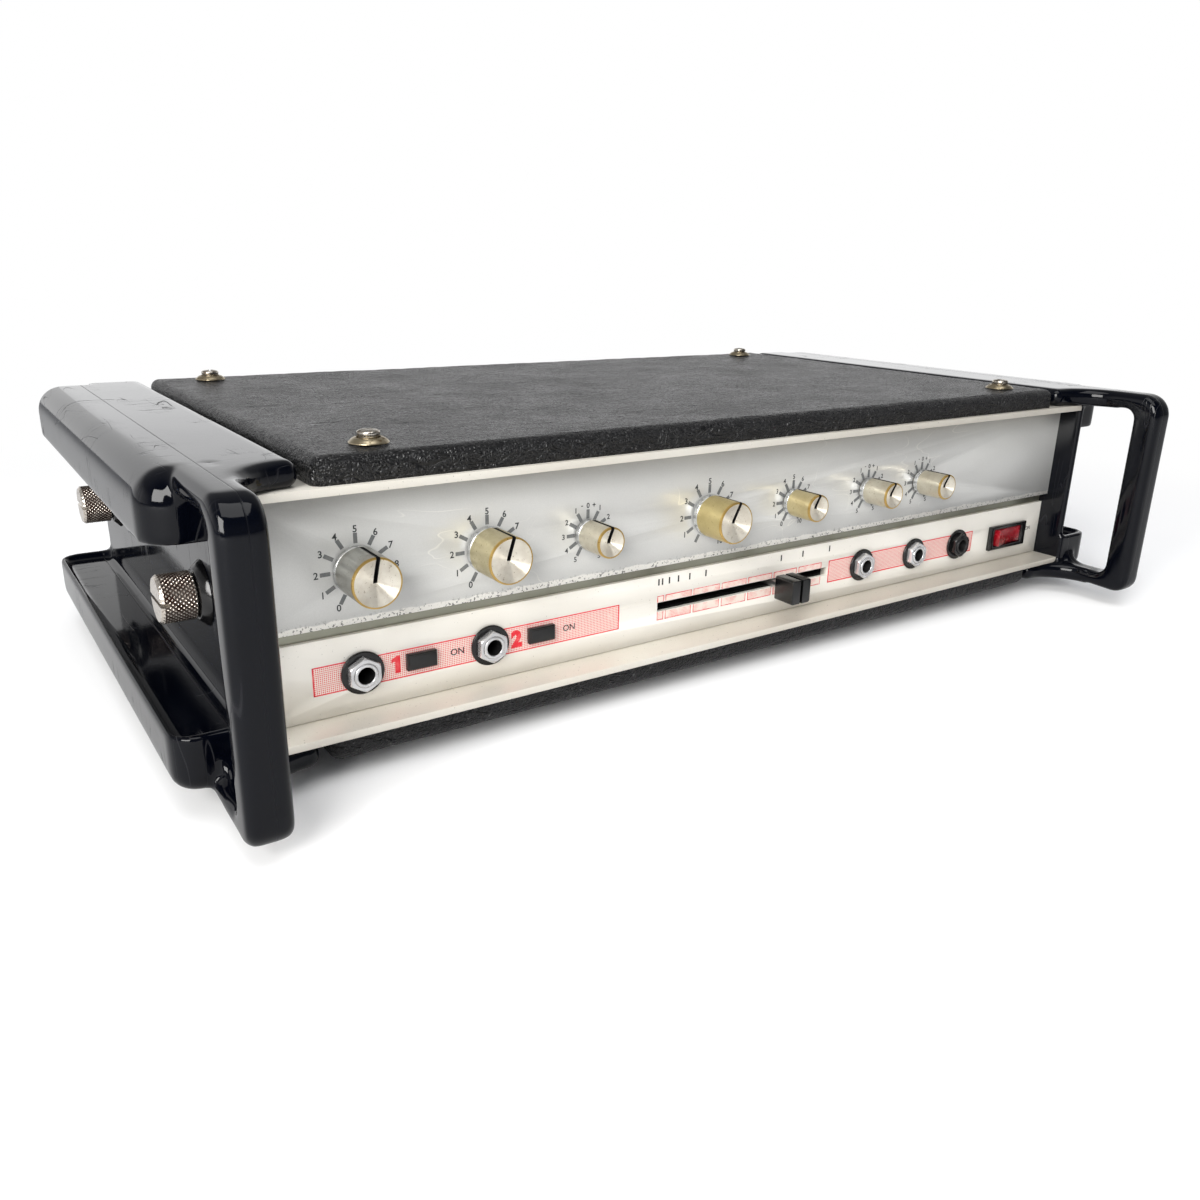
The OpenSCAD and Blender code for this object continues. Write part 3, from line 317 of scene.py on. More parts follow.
def fascia_film(bottom_z):
    f = Finish("pale_grey_film")
    specks = f.noise(0.5, 2.0, rough=0.7)
    clouds = f.noise(60, 3.0, (0.6, 1, 1))
    scuffs = f.maths("MULTIPLY", f.hairs(22, (0.5, 1, 1.6), 0.006, 0.8), f.span(f.noise(40), 0.52, 0.62))
    height = f.maths("SUBTRACT", f.axis("Z"), bottom_z)
    teeth = f.maths("SUBTRACT", f.noise(3.2, 4.0, (0.35, 1, 1)), 0.5)
    ragged = f.maths("ADD", height, f.maths("MULTIPLY", teeth, RUB_RAGGED * MM))
    rubbed = f.span(ragged, RUB_LOW * MM, RUB_HIGH * MM, 1.0, 0.0)
    near_edge = f.span(height, 0.8 * MM, 3.6 * MM, 1.0, 0.0)
    freckles = f.maths("MULTIPLY", f.span(f.noise(0.9, 2.0), 0.58, 0.64), near_edge)
    colour = f.mix(f.span(clouds, 0.3, 0.7), tone(190, 190, 188), tone(202, 202, 199))
    # Lighter specks are painted glints on the film.
    colour = f.mix(f.span(specks, 0.35, 0.65, 0.0, 0.1), colour, tone(240, 240, 238))
    colour = f.mix(rubbed, colour, tone(238, 236, 230))
    colour = f.mix(f.maths("MULTIPLY", freckles, 0.85), colour, tone(52, 50, 48))
    colour = f.mix(f.maths("MULTIPLY", scuffs, 0.5), colour, tone(238, 236, 228))
    rough = f.span(clouds, 0.3, 0.7, 0.3, 0.4)
    return f.done(colour, rough, 0.2, f.bump(specks, 0.012), Coat_Weight=0.35, Coat_Roughness=0.16)


film_grey = fascia_film(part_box("upper_fascia")[0].z)
print("made", film_grey.name)

# %% [markdown]
# One recipe covers the plain metals: a base colour, a dirt colour that collects in spots, a
# roughness range and how metallic it is. Chrome, nickel, brass and steel differ only in numbers.

# %% Plated and plain metals


def metal(name, clean, dirt, rough, spots=0.62, size=2.2, metallic=1.0):
    f = Finish(name)
    clouds = f.noise(size * 4, 3.0)
    spot = f.span(f.noise(size, 4.0, rough=0.65), spots, spots + 0.1)
    colour = f.mix(f.span(clouds, 0.35, 0.7, 0.0, 0.35), clean, dirt)
    colour = f.mix(f.maths("MULTIPLY", spot, 0.85), colour, dirt)
    shine = f.maths("ADD", f.span(clouds, 0.3, 0.7, rough, rough * 1.6), f.maths("MULTIPLY", spot, 0.3))
    return f.done(colour, shine, metallic, f.bump(f.noise(0.4, 2.0), 0.01))


chrome = metal("jack_chrome", tone(222, 222, 224), tone(120, 116, 108), 0.16, 0.66, metallic=0.72)
nickel = metal("aged_nickel", tone(206, 200, 190), tone(92, 76, 58), 0.2, 0.54, 1.4)
brass = metal("cup_brass", tone(176, 164, 138), tone(86, 70, 48), 0.26, 0.55, 1.6)
steel = metal("zinc_steel", tone(176, 178, 182), tone(112, 108, 100), 0.3, 0.64, 3.0)
bronze = metal("bearing_bronze", tone(176, 130, 70), tone(90, 60, 30), 0.3, 0.6)
tinned = metal("tinned_lever", tone(188, 188, 190), tone(104, 98, 90), 0.25, 0.6)
print("made", [m.name for m in (chrome, nickel, brass, steel, bronze, tinned)])

# %% [markdown]
# Black mouldings on the panel, rubber and the printed inks share a dielectric recipe: a dark
# base, slow patches of dust, and a fine bump. Its numbers choose gloss, satin or rubber.

# %% Mouldings, rubber and inks


def moulding(name, base, dusty, rough, dust=0.3, grain=0.5, depth=0.015, size=9):
    f = Finish(name)
    patches = f.noise(size, 4.0)
    colour = f.mix(f.span(patches, 0.45, 0.8, 0.0, dust), base, dusty)
    shine = f.maths("ADD", rough, f.maths("MULTIPLY", patches, 0.18))
    return f.done(colour, shine, 0.0, f.bump(f.noise(grain, 3.0), depth))


black_gloss = moulding("black_gloss_moulding", tone(12, 12, 13), tone(46, 44, 42), 0.08)
black_satin = moulding("black_satin_moulding", tone(17, 17, 18), tone(52, 50, 48), 0.26, depth=0.03)
rubber = moulding("foot_rubber", tone(20, 20, 20), tone(60, 58, 55), 0.62, 0.5, 0.8, 0.08)
grey_ink = moulding("grey_ink", tone(98, 100, 100), tone(130, 130, 128), 0.4, 0.6, size=2.2)
number_ink = moulding("number_ink", tone(40, 42, 44), tone(80, 82, 82), 0.4, 0.5, size=2.2)
black_ink = moulding("black_ink", tone(24, 24, 26), tone(96, 92, 88), 0.4, 0.4, size=1.6)
red_ink = moulding("red_ink", tone(218, 34, 48), tone(236, 130, 128), 0.4, 0.55, size=2.4)
thin_red_ink = moulding("thin_red_ink", tone(214, 72, 76), tone(240, 208, 200), 0.42, 1.0, size=3.0)
paper_brown = moulding("pressed_board", tone(96, 72, 48), tone(130, 104, 76), 0.7)
print("made", len(bpy.data.materials), "finishes so far")

# %% [markdown]
# More finishes for what sits inside and behind: aged mild steel sheet with a faint rolled grain,
# a green circuit board, brown tape, and the red lens of the mains rocker. They are seen when
# somebody takes the lid off or looks at the back, so they get their own wear too.

# %% Inside finishes


def rolled_sheet(name, clean, dull):
    f = Finish(name)
    grain = f.noise(1.2, 3.0, (0.06, 1, 1))
    stains = f.span(f.noise(26, 4.0), 0.5, 0.75)
    colour = f.mix(f.maths("MULTIPLY", stains, 0.6), clean, dull)
    colour = f.mix(f.span(grain, 0.4, 0.7, 0.0, 0.2), colour, dull)
    return f.done(colour, f.span(stains, 0, 1, 0.3, 0.48), 0.85, f.bump(grain, 0.01))


def circuit_green():
    f = Finish("circuit_board_green")
    tracks = f.span(f.cell_edges(5.5, (1, 1.6, 1)), 0.06, 0.09, 1.0, 0.0)
    colour = f.mix(tracks, tone(30, 78, 44), tone(64, 120, 66))
    return f.done(colour, f.span(f.noise(6), 0.3, 0.7, 0.3, 0.45), 0.0, f.bump(tracks, 0.05))


def tape_brown():
    f = Finish("tape_oxide")
    streaks = f.noise(0.8, 2.0, (0.05, 0.05, 1))
    colour = f.mix(streaks, tone(62, 40, 26), tone(88, 60, 40))
    return f.done(colour, f.span(streaks, 0.3, 0.7, 0.22, 0.34), 0.1, f.bump(streaks, 0.01))


LENS_RIB = 0.35


def red_lens():
    f = Finish("red_rocker_lens")
    depth = f.noise(5, 2.0)
    ribs = f.maths("PINGPONG", f.axis("X"), LENS_RIB * MM)
    colour = f.mix(f.span(depth, 0.3, 0.7), tone(112, 8, 18), tone(150, 16, 30))
    rough = f.span(depth, 0.3, 0.7, 0.2, 0.3)
    normal = f.bump(f.span(ribs, 0, LENS_RIB * MM), 0.02)
    return f.done(colour, rough, 0.0, normal, Subsurface_Weight=0.08, Coat_Weight=0.3)


sheet_metal = rolled_sheet("rolled_steel_sheet", tone(158, 160, 164), tone(122, 118, 112))
deck_metal = rolled_sheet("deck_sheet", tone(176, 176, 174), tone(140, 134, 124))
# The olive groove finish is darker than the other sheets as painted shade of the recess between the fascias.
groove_shade_metal = rolled_sheet("olive_groove", tone(152, 152, 138), tone(122, 120, 106))
board_green = circuit_green()
oxide = tape_brown()
lens_red = red_lens()
print("made", len(bpy.data.materials), "finishes")

# %% [markdown]
# A few small helpers carry every piece from rough mesh to seated piece. A modifier's result is
# turned into a plain mesh before the piece is told which body it rides, because the frame keeps
# every object at the origin with its place in its mesh.

# %% Helpers for pieces
MERGE_DISTANCE = 0.002
SHARP_FROM = 35


def loose(name, mesh):
    thing = bpy.data.objects.new(name, mesh)
    bpy.context.scene.collection.objects.link(thing)
    return thing


def settle(thing):
    """Turns an object's modifiers into its plain mesh."""
    bpy.context.view_layer.update()
    graph = bpy.context.evaluated_depsgraph_get()
    done = thing.evaluated_get(graph)
    mesh = bpy.data.meshes.new_from_object(done, preserve_all_data_layers=True, depsgraph=graph)
    old = thing.data
    thing.modifiers.clear()
    thing.data = mesh
    bpy.data.meshes.remove(old)
    return thing


def seat(thing, finish, slot, *nodes, body="case"):
    """Gives a finished piece its finish, its body and the nodes that it stands for; slot is not used."""
    if finish is not None:
        thing.data.materials.clear()
        thing.data.materials.append(finish)
    thing.data.name = thing.name
    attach(thing, body)
    if nodes:
        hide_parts(*nodes)
    thing.data.calc_loop_triangles()
    print(f"{thing.name}: {len(thing.data.loop_triangles)} triangles on {body}")
    return thing


def from_form(name, form, smooth=None):
    """A loose object from a bmesh, with normals made to point outwards."""
    bmesh.ops.recalc_face_normals(form, faces=form.faces)
    mesh = bpy.data.meshes.new(name)
    form.to_mesh(mesh)
    form.free()
    if smooth is not None:
        mesh.shade_smooth()
        mesh.set_sharp_from_angle(angle=math.radians(smooth))
    return loose(name, mesh)


def solid_copy(name, node):
    """A copy of a node's mesh with its loose triangles merged into whole faces."""
    form = bmesh.new()
    form.from_mesh(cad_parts[node].data)
    bmesh.ops.remove_doubles(form, verts=form.verts, dist=MERGE_DISTANCE * MM)
    bmesh.ops.dissolve_limit(form, angle_limit=math.radians(0.6), verts=form.verts, edges=form.edges)
    mesh = bpy.data.meshes.new(name)
    form.to_mesh(mesh)
    form.free()
    return loose(name, mesh)


def rounded(thing, width, segments=2):
    """Rounds the sharp edges, so that they catch a line of light."""
    thing.data.shade_smooth()
    bevel = thing.modifiers.new("Rounded edges", "BEVEL")
    bevel.width = width * MM
    bevel.segments = segments
    bevel.limit_method = "ANGLE"
    bevel.angle_limit = math.radians(SHARP_FROM)
    bevel.harden_normals = True
    return settle(thing)


def rounded_copy(name, node, width, segments=2):
    return rounded(solid_copy(name, node), width, segments)


print("piece helpers ready")

# %% [markdown]
# Each cheek is one moulding with no hard edge anywhere: arms, bar, flanges and rail flow into
# each other. The solid rounds its edges in small steps. Melting a merged copy on a fine voxel
# grid and relaxing it fuses the steps into true fillets and gives the concave blends where the
# arm meets the rail. The right cheek is made once, and the left one is its mirror image.

# %% Cheeks
VOXEL = 1.0
MELT_ROUNDS = 14
MOST_TRIANGLES = 190000


def melted_cheek():
    cheek = solid_copy("right_cheek_shell", "right_cheek")
    melt = cheek.modifiers.new("Melt", "REMESH")
    melt.mode = "VOXEL"
    melt.voxel_size = VOXEL * MM * 1
    melt.use_smooth_shade = True
    relax = cheek.modifiers.new("Relax", "SMOOTH")
    relax.factor = 0.5
    relax.iterations = MELT_ROUNDS
    settle(cheek)
    thin = cheek.modifiers.new("Thin", "DECIMATE")
    cheek.data.calc_loop_triangles()
    thin.ratio = min(1.0, MOST_TRIANGLES / len(cheek.data.loop_triangles))
    return settle(cheek)


def mirrored(thing, name):
    mesh = thing.data.copy()
    mesh.transform(Matrix.Scale(-1, 4, (1, 0, 0)))
    mesh.flip_normals()
    return loose(name, mesh)


right_shell = melted_cheek()
left_shell = mirrored(right_shell, "left_cheek_shell")
for shell in (right_shell, left_shell):
    shell.data.shade_smooth()
seat(right_shell, gloss_navy, "cheek", "right_cheek")
seat(left_shell, gloss_navy, "cheek", "left_cheek")

# %% [markdown]
# The lid and the bottom board are chipboard wrapped in vinyl. A rounded box is projected from a
# grid: each point outside the core box is pulled back to the rounding radius. The wrap is never
# quite flat, so a slow noise lifts it a little and another one pulls shallow creases across it.

# %% Vinyl-covered boards
BOARD_EDGE = 4.5
SUNK, WAVE_DEEP, CREASE_DEEP = 0.3, 0.25, 0.16
CREASE_WIDTH = 0.3


def spread(low, high, radius, cell):
    """Grid values between two faces, close together over the rounded ends."""
    bend = radius * (1 - np.tan(np.linspace(math.pi / 4, 0, 6)))
    count = max(2, int((high - low - 2 * radius) / cell))
    middle = np.linspace(low + radius, high - radius, count + 1)
    return np.concatenate([low + bend[:-1], middle, (high - bend[:-1])[::-1]])


def wrapped_board(name, node, radius, cell, outer):
    """outer is 1 where the rounded face is the top, and -1 where it is the underside."""
    low, high = (np.array(corner) for corner in case_box(node))
    core_low, core_high = low + radius, high - radius
    core_low[2] = low[2] if outer > 0 else low[2] + radius
    core_high[2] = high[2] - radius if outer > 0 else high[2]
    values = [spread(low[i], high[i], radius, cell) for i in range(3)]
    form = bmesh.new()
    for axis in range(3):
        first, second = [i for i in range(3) if i != axis]
        for side in (low[axis], high[axis]):
            rows = []
            for a in values[first]:
                row = []
                for b in values[second]:
                    point = np.empty(3)
                    point[axis], point[first], point[second] = side, a, b
                    core = np.clip(point, core_low, core_high)
                    away = point - core
                    reach = np.linalg.norm(away)
                    if reach > radius:
                        point = core + away * radius / reach
                    row.append(form.verts.new(point))
                rows.append(row)
            for i in range(len(rows) - 1):
                for j in range(len(rows[0]) - 1):
                    form.faces.new((rows[i][j], rows[i + 1][j], rows[i + 1][j + 1], rows[i][j + 1]))
    bmesh.ops.remove_doubles(form, verts=form.verts, dist=0.01)
    base = low[2] if outer > 0 else high[2]
    form.normal_update()
    for v in form.verts:
        free = min(1.0, abs(v.co.z - base) / 4)
        wave = noise.noise(v.co * 0.02) * WAVE_DEEP
        bent = v.co.y + 3 * noise.noise(v.co * 0.05)
        fold = noise.noise(Vector((v.co.x * 0.055, bent * 0.17, 7.0)))
        crease = 1 - min(1.0, abs(fold) / CREASE_WIDTH)
        v.co += Vector((0, 0, outer)) * free * (wave - SUNK - CREASE_DEEP * crease)
    form.transform(case_frame)
    board = from_form(name, form)
    board.data.shade_smooth()
    return board


seat(wrapped_board("lid_wrap", "lid", BOARD_EDGE, 1.9, 1), vinyl, "vinyl", "lid")
seat(wrapped_board("bottom_wrap", "bottom_cover", BOARD_EDGE, 3.4, -1), vinyl, "vinyl", "bottom_cover")

# %% [markdown]
# The extrusion and the two fascias have the right shape already, so their copies only get the
# tiny round edges that every sawn and tumbled sheet has. The channel between the fascias is a
# thin metal strip, painted a darker olive as the shade deep in that recess.

# %% Front metalwork
EDGE, SHEET_EDGE = 0.3, 0.25


def slab(form, low, high):
    """Adds a box between two corners in case millimetres."""
    made = bmesh.ops.create_cube(form, size=1.0)["verts"]
    low, high = Vector(low), Vector(high)
    for v in made:
        v.co = Vector([low[i] + (v.co[i] + 0.5) * (high[i] - low[i]) for i in range(3)])
    return made


def slabs(name, boxes):
    form = bmesh.new()
    for low, high in boxes:
        slab(form, low, high)
    form.transform(case_frame)
    return from_form(name, form)


seat(rounded_copy("lip_extrusion", "front_extrusion", EDGE), lip_metal, "extrusion", "front_extrusion")
seat(rounded_copy("upper_sheet", "upper_fascia", SHEET_EDGE), film_grey, "upper", "upper_fascia")
seat(rounded_copy("lower_sheet", "lower_fascia", SHEET_EDGE), panel_metal, "lower", "lower_fascia")
channel_low = case_box("lower_fascia")[1]
channel_top = case_box("upper_fascia")[0].z
strip_low = (-HALF_W + 0.1, channel_low.y - 0.15, channel_low.z + 0.05)
strip_high = (HALF_W - 0.1, channel_low.y + 0.1, channel_top - 0.05)
groove = slabs("groove_strip", [(strip_low, strip_high)])
seat(rounded(groove, 0.04, 1), groove_shade_metal, "extrusion")

# %% [markdown]
# Dial marks repeat round every knob, so one node tree makes all of them. Each point of a small
# mesh is a dial centre with its own reach; the tree doubles it eleven times, turns each copy by
# a step and puts a bar there. The bars are printed ink, so they are only as thick as paint.

# %% Node trees for what repeats


class Recipe(Tree):
    """A geometry node tree with named inputs, each given with its kind of socket."""

    def __init__(self, name, **inputs):
        super().__init__(bpy.data.node_groups.new(name, "GeometryNodeTree"))
        sockets = self.tree.interface
        sockets.new_socket("Geometry", in_out="INPUT", socket_type="NodeSocketGeometry")
        sockets.new_socket("Geometry", in_out="OUTPUT", socket_type="NodeSocketGeometry")
        for label, kind in inputs.items():
            sockets.new_socket(label, in_out="INPUT", socket_type="NodeSocket" + kind)
        self.given = self.node("NodeGroupInput").outputs

    def attribute(self, name):
        made = self.node("GeometryNodeInputNamedAttribute", {"data_type": "FLOAT"}, Name=name)
        return made.outputs["Attribute"]

    def end(self, geometry, finish):
        """Realizes the copies, sets their finish and closes the tree."""
        real = self.node("GeometryNodeRealizeInstances", Geometry=geometry)
        painted = self.node("GeometryNodeSetMaterial", Geometry=real.outputs[0], Material=finish)
        out = self.tree.nodes.new("NodeGroupOutput")
        self.put(out.inputs[0], painted.outputs[0])
        return self.tree


def run_recipe(thing, tree, **values):
    """Runs a tree on an object, with its inputs given by name, and keeps the plain result."""
    step = thing.modifiers.new(tree.name, "NODES")
    step.node_group = tree
    for item in tree.interface.items_tree:
        if item.in_out == "INPUT" and item.name in values:
            step[item.identifier] = values[item.name]
    return settle(thing)


def tick_recipe():
    r = Recipe("dial ticks", Count="Int", First="Float", Step="Float",
               Long="Float", Wide="Float", Thick="Float", Ink="Material")
    twins = r.node("GeometryNodeDuplicateElements", {"domain": "POINT"},
                   Geometry=r.given["Geometry"], Amount=r.given["Count"])
    number = twins.outputs["Duplicate Index"]
    angle = r.maths("MULTIPLY_ADD", number, r.given["Step"], r.given["First"])
    out = r.maths("SUBTRACT", r.attribute("reach"), r.maths("MULTIPLY", r.given["Long"], 0.5))
    shift = r.node("ShaderNodeCombineXYZ", X=r.maths("MULTIPLY", out, r.maths("SINE", angle)),
                   Z=r.maths("MULTIPLY", out, r.maths("COSINE", angle)))
    moved = r.node("GeometryNodeSetPosition", Geometry=twins.outputs["Geometry"], Offset=shift.outputs[0])
    size = r.node("ShaderNodeCombineXYZ", X=r.given["Wide"], Y=r.given["Thick"], Z=r.given["Long"])
    bar = r.node("GeometryNodeMeshCube", Size=size.outputs[0])
    turn = r.node("ShaderNodeCombineXYZ", Y=angle)
    bars = r.node("GeometryNodeInstanceOnPoints", Points=moved.outputs[0],
                  Instance=bar.outputs["Mesh"], Rotation=turn.outputs[0])
    return r.end(bars.outputs[0], r.given["Ink"])


def copies_recipe():
    r = Recipe("copies at points", Pattern="Object", Seed="Int", Turn="Float", Finish="Material")
    spin = r.node("FunctionNodeRandomValue", {"data_type": "FLOAT"}, Seed=r.given["Seed"])
    low, high = [s for s in spin.inputs if s.name in ("Min", "Max") and s.type == "VALUE"]
    r.put(low, r.maths("MULTIPLY", r.given["Turn"], -1.0))
    r.put(high, r.given["Turn"])
    amount = [s for s in spin.outputs if s.type == "VALUE"][0]
    pattern = r.node("GeometryNodeObjectInfo", Object=r.given["Pattern"])
    turn = r.node("ShaderNodeCombineXYZ", Z=amount)
    there = r.node("GeometryNodeInstanceOnPoints", Points=r.given["Geometry"],
                   Instance=pattern.outputs["Geometry"], Rotation=turn.outputs[0])
    return r.end(there.outputs[0], r.given["Finish"])


tick_tree = tick_recipe()
copies_tree = copies_recipe()
print("trees:", tick_tree.name, "and", copies_tree.name)

# %% [markdown]
# The dials sit where the knobs' shafts come through. A knob's solid gives its centre, and
# whether it is wide or narrow decides how far its marks reach.

# %% Dial marks
KNOBS = ["volume_knob_1", "volume_knob_2", "treble_knob_1", "echo_volume_knob",
         "echo_repeat_knob", "bass_knob", "treble_knob_2"]
CUT_DIALS = {"treble_knob_1", "bass_knob", "treble_knob_2"}
LARGE_FROM = 16
LARGE_DIAL = {"reach": 14.0, "ring": 15.5, "high": 2.7}
SMALL_DIAL = {"reach": 10.4, "ring": 12.1, "high": 2.3}
TICK = {"Long": 3.9 * MM, "Wide": 1.55 * MM, "Thick": 0.08 * MM}
MARKS = 11
FIRST_ANGLE, MARK_STEP = math.radians(-150), math.radians(30)
dials = {}
for knob in KNOBS:
    low, high = case_box(knob)
    wide = min(high.x - low.x, high.z - low.z)
    dials[knob] = dict(LARGE_DIAL if wide > LARGE_FROM else SMALL_DIAL)
    dials[knob].update(x=(low.x + high.x) / 2, z=(low.z + high.z) / 2, wide=wide)


def points_mesh(name, places, **attributes):
    mesh = bpy.data.meshes.new(name)
    mesh.from_pydata([at(*p) for p in places], [], [])
    for label, values in attributes.items():
        mesh.attributes.new(label, "FLOAT", "POINT").data.foreach_set("value", values)
    return loose(name, mesh)


centres = [(d["x"], UPPER_FACE - 0.02, d["z"]) for d in dials.values()]
marks = points_mesh("dial_marks", centres, reach=[d["reach"] * MM for d in dials.values()])
run_recipe(marks, tick_tree, Count=MARKS, First=FIRST_ANGLE, Step=MARK_STEP, Ink=grey_ink, **TICK)
seat(marks, None, "upper")

# %% [markdown]
# Numbers are text curves turned into meshes before they are stood up on the panel. Level dials
# run from 0 to 10, tone dials from 5 down to 0 and up to 5 again with their signs. One level
# dial has no 0.

# %% Dial numbers and panel lettering
DIGIT_SHARE = 0.73
INK_THICK = 0.04
SIGN_OFF = 3.0


def lettering(name, words, finish, slot, face, weight=0.0):
    """words holds (text, x, z, height) in case millimetres; weight fattens the strokes."""
    form = bmesh.new()
    for text, x, z, high in words:
        curve = bpy.data.curves.new(name, "FONT")
        curve.body = text
        curve.size = high / DIGIT_SHARE
        curve.align_x = "CENTER"
        curve.align_y = "CENTER"
        curve.extrude = INK_THICK
        curve.offset = weight * high
        curve.resolution_u = 3
        letter = bpy.data.objects.new(name, curve)
        bpy.context.scene.collection.objects.link(letter)
        bpy.context.view_layer.update()
        graph = bpy.context.evaluated_depsgraph_get()
        mesh = bpy.data.meshes.new_from_object(letter.evaluated_get(graph))
        heights = [v.co.y for v in mesh.vertices]
        middle = Vector((0, (max(heights) + min(heights)) / 2, 0))
        upright = Matrix.Translation((x, face, z)) @ Matrix.Rotation(math.pi / 2, 4, "X")
        mesh.transform(upright @ Matrix.Translation(-middle))
        form.from_mesh(mesh)
        bpy.data.objects.remove(letter)
        bpy.data.curves.remove(curve)
        bpy.data.meshes.remove(mesh)
    bmesh.ops.remove_doubles(form, verts=form.verts, dist=0.0005)
    form.transform(case_frame)
    return seat(from_form(name, form), finish, slot)


numbers = []
for knob, dial in dials.items():
    x, z, ring, high = [dial[key] for key in ("x", "z", "ring", "high")]
    for i in range(MARKS):
        angle = FIRST_ANGLE + i * MARK_STEP
        text = str(abs(i - MARKS // 2)) if knob in CUT_DIALS else str(i)
        if knob == "echo_volume_knob" and i == 0:
            continue
        numbers.append((text, x + ring * math.sin(angle), z + ring * math.cos(angle), high))
    if knob in CUT_DIALS:
        numbers += [("-", x - SIGN_OFF, z + ring, high), ("+", x + SIGN_OFF, z + ring, high)]
lettering("dial_numbers", numbers, number_ink, "upper", UPPER_FACE - 0.02, 0.022)
panel_words = [("ON", -157.2, 19.1, 2.9), ("ON", -103.7, 19.1, 2.9), ("ON", 230.6, 19.4, 2.3)]
lettering("switch_words", panel_words, black_ink, "lower", LOWER_FACE - 0.05, 0.012)

# %% [markdown]
# The channels' red numbers are far bolder than the font. Fatter strokes are enough for the 2. The
# 1 would lose its flag to them, so its outline is drawn point by point and given paint's depth.

# %% Channel numbers
CHANNEL_Z, CHANNEL_HIGH = 19.0, 7.0
channel_two = [("2", -129.8, CHANNEL_Z, CHANNEL_HIGH)]
lettering("channel_number_2", channel_two, red_ink, "lower", LOWER_FACE - 0.06, 0.08)
BOLD_ONE = [(-0.5, -3.6), (1.7, -3.6), (1.7, 3.6), (0.2, 3.6), (-2.0, 2.4), (-2.0, 0.9), (-0.5, 1.5)]


def bold_one(x):
    form = bmesh.new()
    front = [form.verts.new((x + a, LOWER_FACE - 0.1, CHANNEL_Z + b)) for a, b in BOLD_ONE]
    back = [form.verts.new((x + a, LOWER_FACE + 0.02, CHANNEL_Z + b)) for a, b in BOLD_ONE]
    form.faces.new(front)
    form.faces.new(back[::-1])
    for i in range(len(BOLD_ONE)):
        form.faces.new((front[i - 1], back[i - 1], back[i], front[i]))
    form.transform(case_frame)
    return seat(from_form("channel_number_1", form), red_ink, "lower")


bold_one(-183.6)

# %% [markdown]
# The red bands are silk-screened: a thin outline round a field of halftone dots that reads as
# pink. Bars as thin as ink make the outlines. One helper lays every printed box on the fascia.

# %% Printed bands
LINE, THIN_LINE = 0.5, 0.4
BAND_LOW, BAND_HIGH = 12.8, 24.8
SLOT_HALF = 55.5
SLOT_MID = 19.4
SLOT_LOW, SLOT_HIGH = 17.1, 21.8
IN_BAND = (-216.9, -77.1)
OUT_BAND = (SLOT_HALF + 0.7, 175.6)


def printed(x0, x1, z0, z1, high):
    """A box on the lower fascia that stands high millimetres off it, as ink does."""
    return (x0, LOWER_FACE - high, z0), (x1, LOWER_FACE + 0.02, z1)


def outline(x0, x1, z0, z1, line=LINE, sides="lrbt"):
    """Thin bars round a rectangle; sides names the left, right, bottom and top ones."""
    bars = {"l": (x0, x0 + line, z0, z1), "r": (x1 - line, x1, z0, z1),
            "b": (x0, x1, z0, z0 + line), "t": (x0, x1, z1 - line, z1)}
    return [printed(*bars[side], 0.06) for side in sides]


band_bars = outline(*IN_BAND, BAND_LOW + 0.2, BAND_HIGH - 0.2) + outline(*OUT_BAND, BAND_LOW, BAND_HIGH)
seat(slabs("band_outlines", band_bars), red_ink, "lower")

# %% [markdown]
# Halftone is a grid of dots. Two crossed waves, turned by 45 degrees, are high together where a
# dot sits, so the pattern is worked out and stays sharp at any size. Thin plates carry it, with
# square windows where the sockets and the switch caps come through.

# %% Halftone fields
PAPER_SHOWN = tone(236, 222, 212)
JACK_XS = (-197.5, -142.5, 81.0, 123.2, 161.4)
JACK_WINDOW = 5


def halftone(name, ink, pitch, dot, rub_low, rub_high):
    """Dots where two crossed waves are both high, rubbed away where a noise is high."""
    f = Finish(name)
    turned = f.node("ShaderNodeMapping", Vector=f.place, Rotation=(0, math.radians(45), 0))
    split = f.node("ShaderNodeSeparateXYZ", Vector=turned.outputs[0])
    turns = 2 * math.pi / (pitch * MM)
    waves = [f.maths("COSINE", f.maths("MULTIPLY", split.outputs[a], turns)) for a in "XZ"]
    dots = f.span(f.maths("MULTIPLY", *waves), dot, dot + 0.35)
    rub = f.span(f.noise(7, 4.0), rub_low, rub_high, 1.0, 0.0)
    colour = f.mix(f.maths("MULTIPLY", dots, rub), PAPER_SHOWN, ink)
    return f.done(colour, 0.42, 0.2, f.bump(f.noise(0.32, 2.0), 0.02))


def field(x0, x1, z0, z1, windows):
    """A thin plate with square windows in it, as boxes; a window is (x0, x1, half height)."""
    spans, at_x = [], x0
    for a, b, half in sorted(w for w in windows if x0 < w[0] < x1):
        spans += [(at_x, a, z0, z1), (a, b, z0, SLOT_MID - half), (a, b, SLOT_MID + half, z1)]
        at_x = b
    spans.append((at_x, x1, z0, z1))
    return [printed(*span, 0.03) for span in spans]


windows = [(x - JACK_WINDOW, x + JACK_WINDOW, JACK_WINDOW) for x in JACK_XS]
for cap in ("echo_switch_cap_1", "echo_switch_cap_2"):
    low, high = case_box(cap)
    middle = (low.x + high.x) / 2
    windows.append((middle - 1.9, middle + 5.9, 2))
plates = []
for a, b in (IN_BAND, OUT_BAND):
    plates += field(a + 0.3, b - 0.3, BAND_LOW + 0.4, BAND_HIGH - 0.4, windows)
band_print = halftone("pink_halftone", tone(222, 84, 88), 1.1, 0.0, 0.62, 0.78)
seat(slabs("band_fields", plates), band_print, "lower")

# %% [markdown]
# A row of small boxes runs above and below the slider's slot, with a scale of black strokes over
# them. Fingers have rubbed these fields nearly away, so their dots give way to bare metal sooner.

